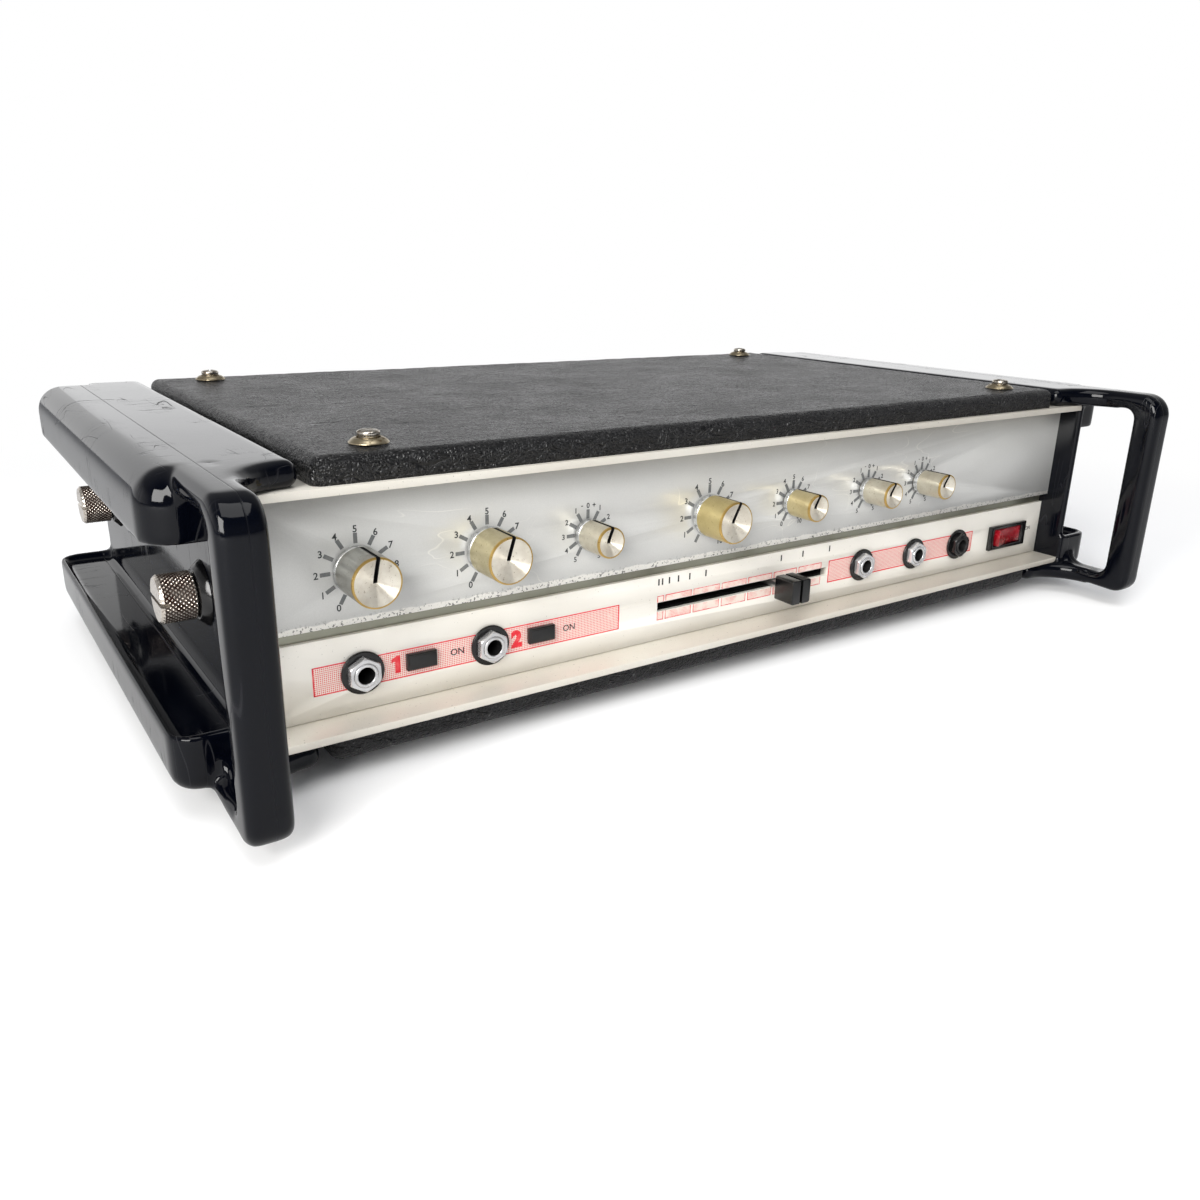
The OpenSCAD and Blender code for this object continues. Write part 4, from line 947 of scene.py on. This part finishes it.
# %% Print round the slider's slot
SEGMENTS = [(-55.7, -51.9), (-51.0, -35.5), (-34.3, -18.2), (-16.8, -1.1), (0.2, 15.9), (17.2, 33.0),
            (34.4, 50.7)]
SCALE_XS = [-55.2, -53.1, -49.1, -43.8, -37.1, -27.3, 21.5, 36.5, 55.7]
segment_bars = []
worn = []
for a, b in SEGMENTS:
    segment_bars += outline(a, b, BAND_LOW + 0.2, SLOT_LOW, THIN_LINE, "lrb")
    segment_bars += outline(a, b, SLOT_HIGH, BAND_HIGH, THIN_LINE, "lrt")
    worn.append(printed(a + 0.3, b - 0.3, BAND_LOW + 0.4, SLOT_LOW - 0.1, 0.03))
    worn.append(printed(a + 0.3, b - 0.3, SLOT_HIGH, BAND_HIGH - 0.2, 0.03))
seat(slabs("delay_outlines", segment_bars), thin_red_ink, "lower")
worn_print = halftone("worn_halftone", tone(226, 110, 108), 0.95, 0.0, 0.42, 0.56)
seat(slabs("delay_fields", worn), worn_print, "lower")
scale = [printed(x - 0.4, x + 0.4, 29.9, 33.0, 0.06) for x in SCALE_XS]
seat(slabs("delay_scale", scale), black_ink, "lower")

# %% [markdown]
# A knob is a spun aluminium cap on a turned skirt: a dished cone whose circular brushing throws
# a bright wedge of light, a brass-coloured rim, a skirt that is anodised differently on every
# knob, a base ring, and a black pointer line cut over the cap and along the skirt. A lathe
# helper turns a profile and gives it a UV map, so that the brushing can follow the turning.

# %% Lathe
TURN_STEPS = 96


def lathe(name, profile, steps=TURN_STEPS, ring=False):
    """Turns (radius, along, finish number) points about Z in millimetres; a ring joins its ends.

    The UV map holds the share of a turn and the share of the profile's points passed.
    """
    form = bmesh.new()
    uv = form.loops.layers.uv.new("turned")
    rows = []
    for radius, along, _ in profile:
        if radius == 0:
            rows.append([form.verts.new((0, 0, along))] * steps)
            continue
        angles = [2 * math.pi * i / steps for i in range(steps)]
        rows.append([form.verts.new((radius * math.cos(a), radius * math.sin(a), along)) for a in angles])
    pairs = list(zip(range(len(rows) - 1), range(1, len(rows))))
    if ring:
        pairs.append((len(rows) - 1, 0))
    for low, high in pairs:
        for i in range(steps):
            j = (i + 1) % steps
            corners = [(rows[low][i], i, low), (rows[low][j], i + 1, low),
                       (rows[high][j], i + 1, high), (rows[high][i], i, high)]
            unique = [c for k, c in enumerate(corners) if c[0] not in [d[0] for d in corners[:k]]]
            made = form.faces.new([c[0] for c in unique])
            made.material_index = profile[low][2]
            for loop, (_, u, v) in zip(made.loops, unique):
                loop[uv].uv = (u / steps, v / len(rows))
    return from_form(name, form, 32)


def cut(thing, boxes, place=Matrix.Identity(4), number=0):
    """Cuts boxes, given by their corners, out of a piece; the cut faces get a finish number."""
    form = bmesh.new()
    for low, high in boxes:
        slab(form, low, high)
    for f in form.faces:
        f.material_index = number
    form.transform(place)
    tool = from_form(thing.name + "_cutter", form)
    for material in thing.data.materials:
        tool.data.materials.append(material)
    step = thing.modifiers.new("Cut", "BOOLEAN")
    step.operation = "DIFFERENCE"
    step.solver = "EXACT"
    step.use_self = len(boxes) > 1
    step.object = tool
    settle(thing)
    bpy.data.objects.remove(tool)
    return thing


print("lathe ready")

# %% [markdown]
# The cap's metal is brushed in circles. Anisotropy along the turned UV map stretches the
# highlight across the brushing into that wedge. Handling has pitted the cap and browned it,
# which spots and clouds of a darker tone show.

# %% Knob finishes


def spun(name, clean, dirt, rough, brushed):
    f = Finish(name)
    tangent = f.node("ShaderNodeTangent", {"direction_type": "UV_MAP", "uv_map": "turned"})
    f.put(f.shader.inputs["Tangent"], tangent.outputs[0])
    spots = f.span(f.noise(1.1, 4.0, rough=0.7), 0.6, 0.68)
    clouds = f.noise(7, 3.0)
    colour = f.mix(f.span(clouds, 0.4, 0.75, 0.0, 0.35), clean, dirt)
    colour = f.mix(f.maths("MULTIPLY", spots, 0.6), colour, dirt)
    shine = f.maths("ADD", f.span(clouds, 0.3, 0.7, rough, rough + 0.1), f.maths("MULTIPLY", spots, 0.25))
    grain = f.bump(f.noise(0.5, 3.0), 0.012)
    return f.done(colour, shine, 0.8, grain, Anisotropic=brushed, Anisotropic_Rotation=0.25)


cap_metal = spun("spun_cap", tone(244, 238, 224), tone(150, 126, 90), 0.4, 0.95)
rim_brass = spun("rim_brass", tone(196, 164, 96), tone(112, 84, 44), 0.26, 0.3)
ring_metal = spun("base_ring_silver", tone(206, 208, 208), tone(120, 110, 96), 0.22, 0.4)
skirt_metals = {
    "volume_knob_1": spun("skirt_grey", tone(176, 176, 170), tone(112, 100, 82), 0.3, 0.4),
    "volume_knob_2": spun("skirt_champagne", tone(192, 182, 148), tone(134, 122, 84), 0.34, 0.4),
    "echo_volume_knob": spun("skirt_yellow", tone(200, 184, 132), tone(156, 138, 86), 0.36, 0.35),
    "echo_repeat_knob": spun("skirt_straw", tone(206, 192, 148), tone(154, 136, 92), 0.34, 0.35),
    "treble_knob_1": spun("skirt_pearl", tone(212, 206, 188), tone(150, 134, 104), 0.28, 0.4),
}
print("skirt finishes:", len(skirt_metals))

# %% [markdown]
# Every knob is turned from one profile that follows its own size. The pointer is cut in two goes:
# a level groove over the rim and along the skirt, and a tilted one down the dished cap. The
# finish numbers in the profile are those of the list of materials: 0 cap, 1 rim, 2 skirt, 3 ring
# and 4 black.

# %% Knobs
REST_TURN = dict(zip(KNOBS, (4, 7, 3, 11, 1, 0, 0)))
SHAFT_R = 3.0
RING_LONG = 2.5
POINTER_WIDE, POINTER_DEEP = 1.6, 0.7
OFF_FACE = 0.5
DISH = 2.6
RIM = 0.9


def turned_knob(knob):
    dial = dials[knob]
    low, high = case_box(knob)
    radius, front, shaft_end = dial["wide"] / 2, low.y, high.y
    back = UPPER_FACE - OFF_FACE
    profile = [
        (0, front + DISH, 0), (radius - RIM - 0.1, front + 0.1, 0), (radius - RIM + 0.15, front, 1),
        (radius - 0.4, front, 1), (radius - 0.1, front + 0.15, 1), (radius, front + 0.5, 1),
        (radius, front + 1.0, 2), (radius, back - RING_LONG - 0.3, 2),
        (radius - 0.2, back - RING_LONG - 0.1, 4), (radius - 0.2, back - RING_LONG, 3),
        (radius, back - RING_LONG + 0.2, 3), (radius, back - 0.3, 3), (radius - 0.3, back, 4),
        (SHAFT_R, back, 3), (SHAFT_R, shaft_end, 3), (0, shaft_end, 3),
    ]
    piece = lathe(knob + "_turned", profile)
    skirt = skirt_metals.get(knob, skirt_metals["treble_knob_1"])
    for material in (cap_metal, rim_brass, skirt, ring_metal, black_satin):
        piece.data.materials.append(material)
    half, deep = POINTER_WIDE / 2, POINTER_DEEP
    grooves = [((-half, radius - RIM - 0.6, front - 1), (half, radius + 1, front + deep)),
               ((-half, radius - deep, front - 1), (half, radius + 1, back - RING_LONG))]
    cut(piece, grooves, number=4)
    slope = math.atan2(DISH, radius - RIM)
    along = math.hypot(DISH, radius - RIM)
    tilt = Matrix.Translation((0, 0, front + DISH)) @ Matrix.Rotation(-slope, 4, "X")
    cut(piece, [((-half, -0.4, -deep), (half, along + 0.2, 3))], tilt, 4)
    level = Matrix.Rotation(-math.pi / 2, 4, "X") @ Matrix.Scale(-1, 4, (0, 1, 0))
    turned = Matrix.Rotation(math.radians(REST_TURN[knob]), 4, "Y") @ level
    piece.data.transform(case_frame @ Matrix.Translation((dial["x"], 0, dial["z"])) @ turned)
    piece.data.flip_normals()
    return seat(piece, None, "knob_gold", knob, body=knob)


for knob in KNOBS:
    turned_knob(knob)

# %% [markdown]
# The cheeks are held on by big thumbscrews: plated heads with a diamond knurl, rusted in the
# grooves, and a coin slot in the end. The knurl repeats, so a node tree makes it: two families
# of slanted triangle waves push the head's side inwards where either one is low.

# %% Knurl recipe
THUMB_R = 9.2
THUMB_LONG = 13.0
KNURL_LOW, KNURL_HIGH = 0.9, 11.7
SIDE_ROWS = 36
TOOTH_ROWS = 6
TOOTH_PITCH = TOOTH_ROWS * (KNURL_HIGH - KNURL_LOW) / SIDE_ROWS * MM
KNURL = {"Count": 32, "Pitch": TOOTH_PITCH, "Start": KNURL_LOW * MM, "Deep": 0.5 * MM}


def knurl_recipe():
    r = Recipe("diamond knurl", Count="Int", Pitch="Float", Start="Float", Deep="Float", Finish="Material")
    where = r.node("GeometryNodeInputPosition").outputs[0]
    split = r.node("ShaderNodeSeparateXYZ", Vector=where)
    around = r.maths("DIVIDE", r.maths("ARCTAN2", split.outputs["Y"], split.outputs["X"]), 2 * math.pi)
    turns = r.maths("MULTIPLY", around, r.given["Count"])
    rows = r.maths("DIVIDE", r.maths("SUBTRACT", split.outputs["Z"], r.given["Start"]), r.given["Pitch"])
    waves = [r.maths("PINGPONG", r.maths(way, turns, rows), 0.5) for way in ("ADD", "SUBTRACT")]
    low = r.maths("SUBTRACT", 0.5, r.maths("MINIMUM", *waves))
    on_side = r.attribute("side")
    push = r.maths("MULTIPLY", r.maths("MULTIPLY", low, r.given["Deep"]), r.maths("MULTIPLY", on_side, -2.0))
    flat = r.node("ShaderNodeCombineXYZ", X=split.outputs["X"], Y=split.outputs["Y"])
    out = r.node("ShaderNodeVectorMath", {"operation": "NORMALIZE"})
    r.put(out.inputs[0], flat.outputs[0])
    shift = r.node("ShaderNodeVectorMath", {"operation": "SCALE"}, Scale=push)
    r.put(shift.inputs[0], out.outputs[0])
    moved = r.node("GeometryNodeSetPosition", Geometry=r.given["Geometry"], Offset=shift.outputs[0])
    return r.end(moved.outputs[0], r.given["Finish"])


print("knurl:", KNURL["Count"], "diamonds round the head")

# %% [markdown]
# The rust in the grooves has to follow the same diamonds. The head's UV map counts turns and
# profile points, so the finish can work out the two waves once more and darken where they are low.

# %% Thumbscrews
RUST = tone(58, 36, 28)
SHANK_R = 3.0
COIN_SLOT_WIDE, COIN_SLOT_DEEP = 1.6, 3


def knurled_metal(rows_before, rows_all):
    """Bright diamond tips with rust between them, laid out on the turned UV map."""
    f = Finish("rusty_knurled_chrome")
    grid = f.node("ShaderNodeUVMap", {"uv_map": "turned"})
    split = f.node("ShaderNodeSeparateXYZ", Vector=grid.outputs[0])
    turns = f.maths("MULTIPLY", split.outputs["X"], KNURL["Count"])
    row = f.maths("SUBTRACT", f.maths("MULTIPLY", split.outputs["Y"], rows_all), rows_before)
    rows = f.maths("DIVIDE", row, TOOTH_ROWS)
    waves = [f.maths("PINGPONG", f.maths(way, turns, rows), 0.5) for way in ("ADD", "SUBTRACT")]
    on_side = f.maths("MULTIPLY", f.span(row, 0, 0.4), f.span(row, SIDE_ROWS, SIDE_ROWS + 0.4, 1.0, 0.0))
    groove = f.maths("MULTIPLY", f.span(f.maths("MINIMUM", *waves), 0.2, 0.38, 1.0, 0.0), on_side)
    patches = f.span(f.noise(4, 3.0), 0.35, 0.62, 0.8, 1.0)
    spots = f.span(f.noise(1.1, 4.0, rough=0.65), 0.58, 0.66, 0.0, 0.6)
    dirt = f.maths("MAXIMUM", f.maths("MULTIPLY", groove, patches), spots)
    colour = f.mix(dirt, tone(212, 204, 194), RUST)
    return f.done(colour, f.span(dirt, 0.0, 1.0, 0.2, 0.6), 0.9, f.bump(groove, 0.1))


def thumbscrew_head():
    """One screw along Z in metres, its collar face at zero."""
    low, high = case_box("thumbscrew_right_front")
    shank = high.x - low.x - THUMB_LONG
    side = [(THUMB_R, along, 0) for along in np.linspace(KNURL_LOW, KNURL_HIGH, SIDE_ROWS + 1)]
    before = [(0, -shank, 0), (SHANK_R - 0.4, -shank, 0), (SHANK_R, 0.5 - shank, 0), (SHANK_R, 0, 0),
              (THUMB_R - 1.2, 0, 0), (THUMB_R - 0.5, 0.5, 0)]
    profile = before + side
    profile += [(THUMB_R - 0.5, THUMB_LONG - 0.7, 0), (THUMB_R - 1.1, THUMB_LONG, 0), (0, THUMB_LONG, 0)]
    head = lathe("thumbscrew_pattern", profile, TOOTH_ROWS * KNURL["Count"])
    mask = [1.0 if math.hypot(v.co.x, v.co.y) > THUMB_R - 0.01 else 0.0 for v in head.data.vertices]
    head.data.attributes.new("side", "FLOAT", "POINT").data.foreach_set("value", mask)
    head.data.transform(Matrix.Scale(MM, 4))
    run_recipe(head, knurl_recipe(), Finish=knurled_metal(len(before), len(profile)), **KNURL)
    half = COIN_SLOT_WIDE / 2
    slot_box = ((-half, -THUMB_R - 2.8, THUMB_LONG - COIN_SLOT_DEEP), (half, THUMB_R + 2.8, THUMB_LONG + 2))
    head.data.set_sharp_from_angle(angle=math.radians(28))
    return cut(head, [slot_box], Matrix.Scale(MM, 4))


pattern = thumbscrew_head()
for side in ("left", "right"):
    for end in ("front", "rear"):
        node = f"thumbscrew_{side}_{end}"
        low, high = case_box(node)
        sign = 1 if side == "right" else -1
        outermost = max(abs(low.x), abs(high.x))
        start = at(sign * (outermost - THUMB_LONG), (low.y + high.y) / 2, (low.z + high.z) / 2)
        screw = loose(node + "_knurled", pattern.data.copy())
        screw.data.transform(Matrix.Translation(start) @ Matrix.Rotation(sign * math.pi / 2, 4, "Y"))
        seat(screw, None, "knurled", node, body=node)
bpy.data.objects.remove(pattern)
seat(rounded_copy("screw_collars", "thumbscrew_collars", 0.35), black_gloss, "collar", "thumbscrew_collars")

# %% [markdown]
# Four slotted raised-head screws in pressed cup washers hold the lid. They are one pattern each,
# copied to the screws' places by the same tree, and every slot stops at its own angle.

# %% Lid screws and cup washers
cup_low, cup_high = case_box("lid_cup_washers")
CUP_R = 7.5
HEAD_R, DOME_FROM, DOME_HIGH = 4.25, 3.9, 1.1
TURN_SEED, MOST_TURN = 5, 1.3
screw_xs = (cup_low.x + CUP_R, cup_high.x - CUP_R)
screw_ys = (cup_low.y + CUP_R, cup_high.y - CUP_R)
corners = [(x, y, cup_low.z) for x in screw_xs for y in screw_ys]


def screw_pattern():
    shank = cup_low.z - case_box("lid_screws")[0].z
    dome = [(HEAD_R * math.cos(a), DOME_FROM + DOME_HIGH * math.sin(a), 0)
            for a in np.linspace(0, math.pi / 2, 7)[:-1]]
    profile = [(0, -shank, 0), (1.4, -shank, 0), (2.0, 1 - shank, 0), (2.0, 0.8, 0), (3.6, 0.8, 0),
               (3.6, 2.5, 0), (4.1, 2.7, 0), (HEAD_R, 3.0, 0)]
    profile += dome + [(0, DOME_FROM + DOME_HIGH, 0)]
    return cut(lathe("screw_pattern", profile, 48), [((-5, -0.5, 4.0), (5, 0.5, 6))])


def cup_pattern():
    rim = [(CUP_R - 0.1, 0, 0), (CUP_R, 0.2, 0), (CUP_R - 0.1, 0.45, 0)]
    flare = [(CUP_R - 0.2 - 2.6 * t, 0.5 + 1.6 * math.sin(t * math.pi / 2), 0)
             for t in np.linspace(0, 1, 7)]
    lip = [(4.75, 2.2, 0), (4.4, 2.0, 0), (4.35, 0.75, 0), (2.3, 0.7, 0), (2.3, 0, 0)]
    return lathe("cup_pattern", rim + flare + lip, 48, ring=True)


for name, make, finish, slot, node in (("lid_screw_heads", screw_pattern, nickel, "screw", "lid_screws"),
                                       ("lid_cups", cup_pattern, brass, "cup", "lid_cup_washers")):
    shape = make()
    shape.data.transform(Matrix.Scale(MM, 4))
    places = points_mesh(name, corners)
    drawn = {"Seed": TURN_SEED, "Turn": MOST_TURN}
    copies = run_recipe(places, copies_tree, Pattern=shape, Finish=finish, **drawn)
    copies.data.shade_smooth()
    copies.data.set_sharp_from_angle(angle=math.radians(32))
    bpy.data.objects.remove(shape)
    seat(copies, None, slot, node)

# %% [markdown]
# Jack sockets show a bright bush in a hexagon nut over a black washer. The last one, for a foot
# switch, is all black. Their solids are right, so copies get round edges; the faces deep in each
# bore are black plastic, not metal.

# %% Jacks and switches
BORE_R = 3.5
BORE_FROM = 0.7


def jack_bores(sockets):
    """Gives black plastic to the faces inside each bore and to all of the last socket."""
    sockets.data.materials.append(black_satin)
    to_case = case_frame.inverted()
    front = case_box("jack_sockets")[0].y
    middle_z = sum(corner.z for corner in case_box("jack_nuts")) / 2
    last_x = sum(corner.x for corner in case_box("footswitch_nut")) / 2
    for polygon in sockets.data.polygons:
        spot = to_case @ polygon.center
        inward = abs(spot.z - middle_z) < BORE_R and spot.y > front + BORE_FROM
        if inward or abs(spot.x - last_x) < JACK_WINDOW:
            polygon.material_index = 1


seat(rounded_copy("jack_nut_set", "jack_nuts", 0.3), chrome, "jack", "jack_nuts")
seat(rounded_copy("jack_washer_set", "jack_washers", 0.4, 3), black_gloss, "black", "jack_washers")
seat(rounded_copy("footswitch_nut_black", "footswitch_nut", 0.3), black_gloss, "black", "footswitch_nut")
sockets = seat(rounded_copy("jack_socket_set", "jack_sockets", 0.3), chrome, "jack", "jack_sockets")
jack_bores(sockets)
for node in ("echo_switch_cap_1", "echo_switch_cap_2"):
    seat(rounded_copy(node + "_moulded", node, 0.4), black_satin, "black", node, body=node)

# %% [markdown]
# The delay slider is a square grip on a tinned lever, and its face has one upright groove. The
# mains switch is a red lens that rocks in a black bezel.

# %% Slider and mains switch
GRIP_GROOVE = (0.45, 0.8)


def grip_finish():
    """Deep black with one upright groove in the middle of the grip's face, painted darker still as its
    shade.
    """
    low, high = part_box("slider_knob")
    f = Finish("grip_black")
    off = f.maths("ABSOLUTE", f.maths("SUBTRACT", f.axis("X"), (low.x + high.x) / 2))
    line = f.span(off, GRIP_GROOVE[0] * MM, GRIP_GROOVE[1] * MM, 1.0, 0.0)
    dust = f.span(f.noise(6, 3.0), 0.5, 0.8, 0.0, 0.3)
    # The groove line is painted near-black: painted shade in the groove.
    colour = f.mix(line, f.mix(dust, tone(12, 12, 13), tone(42, 40, 38)), tone(2, 2, 2))
    rough = f.span(dust, 0.0, 1.0, 0.22, 0.4)
    return f.done(colour, rough, 0.0, f.bump(f.maths("MULTIPLY", line, -1.0), 0.5))


for name, node, width, finish, slot, body in (
    ("slider_grip", "slider_knob", 0.35, grip_finish(), "black", "delay_slider"),
    ("slider_stem", "slider_lever", 0.25, tinned, "lever", "delay_slider"),
    ("switch_bezel", "mains_switch_frame", 0.45, black_gloss, "black", "case"),
    ("rocker_lens", "mains_rocker", 0.5, lens_red, "rocker", "mains_rocker"),
):
    seat(rounded_copy(name, node, width), finish, slot, node, body=body)

# %% [markdown]
# The back and the underside are plainer. Sheet, inlet, fuse holder and feet keep their shape and
# get round edges. Everything inside stays the solid itself and only receives a finish.

# %% Back, underside and inside
for node, width, finish, slot in (
    ("rear_panel", 0.3, sheet_metal, "sheet"), ("mains_inlet", 0.4, black_satin, "black"),
    ("fuse_holder", 0.5, black_gloss, "black"), ("rubber_feet", 0.8, rubber, "foot"),
):
    seat(rounded_copy(node + "_edged", node, width), finish, slot, node)
inside = {
    steel: ["foot_screws", "thumbscrew_nuts", "board_pillars", "deck_posts", "pot_nuts", "pinch_arm",
            "flywheel"],
    chrome: ["capstan", "tape_heads"],
    nickel: ["tape_guides", "motor"],
    bronze: ["capstan_bearing", "motor_pulley"],
    brass: ["potentiometers"],
    sheet_metal: ["chassis_tray"],
    deck_metal: ["deck_plate"],
    rubber: ["drive_belt", "pinch_roller"],
    board_green: ["circuit_board"],
    paper_brown: ["transformer"],
    oxide: ["tape_loop"],
    black_satin: ["echo_switch_bodies", "slide_pot"],
}
for finish, nodes in inside.items():
    for node in nodes:
        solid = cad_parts[node]
        solid.material_slots[0].material = finish
        solid.data.shade_smooth()
        solid.data.set_sharp_from_angle(angle=math.radians(30))
painted = sum(len(nodes) for nodes in inside.values())
print("finished", painted, "inside pieces in place")

# %% [markdown]
# The camera stands where the photographer stood, which a fit of the panel's lines and dials gave:
# in front of the left end, looking down and across. It is turned a degree, as a hand holds it.

# %% Camera
PLACE = (-324.5, -325.0, 169.9)
AZIMUTH, DOWN, ROLL = math.radians(34.84), math.radians(18.81), math.radians(1.199)
LENS, SENSOR = 29.98, 36


def add_camera():
    away = Vector((math.sin(AZIMUTH) * math.cos(DOWN), math.cos(AZIMUTH) * math.cos(DOWN), -math.sin(DOWN)))
    right = Vector((math.cos(AZIMUTH), -math.sin(AZIMUTH), 0))
    up = right.cross(away)
    turned_right = math.cos(ROLL) * right + math.sin(ROLL) * up
    turned_up = math.cos(ROLL) * up - math.sin(ROLL) * right
    lens = bpy.data.cameras.new("camera")
    lens.lens, lens.sensor_width = LENS, SENSOR
    lens.clip_start = 0.01
    camera = bpy.data.objects.new("camera", lens)
    bpy.context.scene.collection.objects.link(camera)
    axes = Matrix((turned_right, turned_up, -away)).transposed().to_4x4()
    camera.matrix_world = Matrix.Translation(at(*PLACE)) @ axes
    bpy.context.scene.camera = camera
    return camera


print("camera at", [round(v, 3) for v in add_camera().location])

# %% [markdown]
# Soft daylight comes from the left and the front, and a bright wall behind gives the tops their
# grey sheen. Every lamp is a wide area lamp at a plain level.

# %% Lamps
MIDDLE = (0, 0, 0.06)


def area_lamp(name, place, size, power, colour=(1, 1, 1), tall=None):
    lamp = bpy.data.lights.new(name, "AREA")
    lamp.shape = "RECTANGLE"
    lamp.size = size
    lamp.size_y = tall or size
    lamp.energy = power
    lamp.color = colour
    thing = bpy.data.objects.new(name, lamp)
    bpy.context.scene.collection.objects.link(thing)
    thing.location = place
    thing.rotation_euler = (Vector(MIDDLE) - Vector(place)).to_track_quat("-Z", "Y").to_euler()
    thing.visible_camera = False


area_lamp("window_left", (-1.5, -1.1, 0.9), 1.1, 54, (1, 0.99, 0.97))
area_lamp("wall_behind", (1.6, 2.5, 0.42), 3.8, 2.5, (0.97, 0.98, 1), 0.7)
area_lamp("ceiling", (-0.2, -0.6, 1.8), 1.4, 16)
print("lamps:", len(bpy.data.lights))

# %% [markdown]
# The room is white to the camera and lights the unit softly. Gloss and clear things see a room
# that is bright behind, where the tops look, and dimmer in front and overhead.

# %% Room
SOFT_LIGHT = 0.45
ROOM_FRONT = 0.12
ROOM_HIGH = 0.3


def room_world():
    world = bpy.data.worlds.new("studio")
    world.use_nodes = True
    t = Tree(world.node_tree)
    soft = t.tree.nodes["Background"]
    t.put(soft.inputs["Color"], (0.93, 0.95, 1, 1))
    t.put(soft.inputs["Strength"], SOFT_LIGHT)
    ray = t.node("ShaderNodeLightPath").outputs
    way = t.node("ShaderNodeSeparateXYZ", Vector=t.node("ShaderNodeTexCoord").outputs["Generated"])
    behind = t.span(way.outputs["Y"], -0.5, 0.35, ROOM_FRONT, 1.0, "SMOOTHSTEP")
    low = t.span(way.outputs["Z"], 0.22, 0.6, 1.0, ROOM_HIGH, "SMOOTHSTEP")
    strength = t.maths("MAXIMUM", ray["Is Camera Ray"], t.maths("MULTIPLY", behind, low))
    white = t.node("ShaderNodeBackground", Color=(1, 1, 1, 1), Strength=strength)
    gloss = t.maths("MAXIMUM", ray["Is Glossy Ray"], ray["Is Transmission Ray"])
    seen = t.maths("MAXIMUM", ray["Is Camera Ray"], gloss)
    t.blend(seen, soft.outputs[0], white.outputs[0], "World Output")
    return world


bpy.context.scene.world = room_world()
print("world:", bpy.context.scene.world.name)

# %% [markdown]
# The floor is grey paper as a source of light, paler to gloss, and nearly white to the camera, so
# that it keeps the unit's shadow. Round the unit it runs out to plain white.

# %% Floor
FLOOR_IN_METAL = 0.2
FADE_OUT = (0.32, 0.75)
FLOOR_HALF = 9


def pale_floor():
    f = Finish("pale_floor")
    ray = f.node("ShaderNodeLightPath").outputs
    paper = f.mix(f.span(f.noise(400), 0.3, 0.7), (0.5, 0.5, 0.5, 1), (0.54, 0.54, 0.54, 1))
    in_metal = f.maths("MULTIPLY", ray["Is Glossy Ray"], FLOOR_IN_METAL)
    seen = f.maths("MAXIMUM", ray["Is Camera Ray"], ray["Is Transmission Ray"])
    f.done(f.mix(f.maths("MAXIMUM", seen, in_metal), paper, (0.96, 0.96, 0.96, 1)), 0.8)
    away = f.node("ShaderNodeVectorMath", {"operation": "LENGTH"})
    f.put(away.inputs[0], f.place)
    far = f.span(away.outputs["Value"], *FADE_OUT, 0.0, 1.0, "SMOOTHSTEP")
    plain = f.maths("MULTIPLY", far, ray["Is Camera Ray"])
    white = f.node("ShaderNodeEmission")
    f.blend(plain, f.shader.outputs[0], white.outputs[0], "Material Output")
    return f.material


floor_mesh = bpy.data.meshes.new("floor")
edges = [(x * FLOOR_HALF, y * FLOOR_HALF, 0) for x, y in ((-1, -1), (1, -1), (1, 1), (-1, 1))]
floor_mesh.from_pydata(edges, [], [(0, 1, 2, 3)])
floor = loose("floor", floor_mesh)
floor_mesh.materials.append(pale_floor())
bpy.context.scene.view_settings.view_transform = "Standard"
print("floor", 2 * FLOOR_HALF, "m wide")
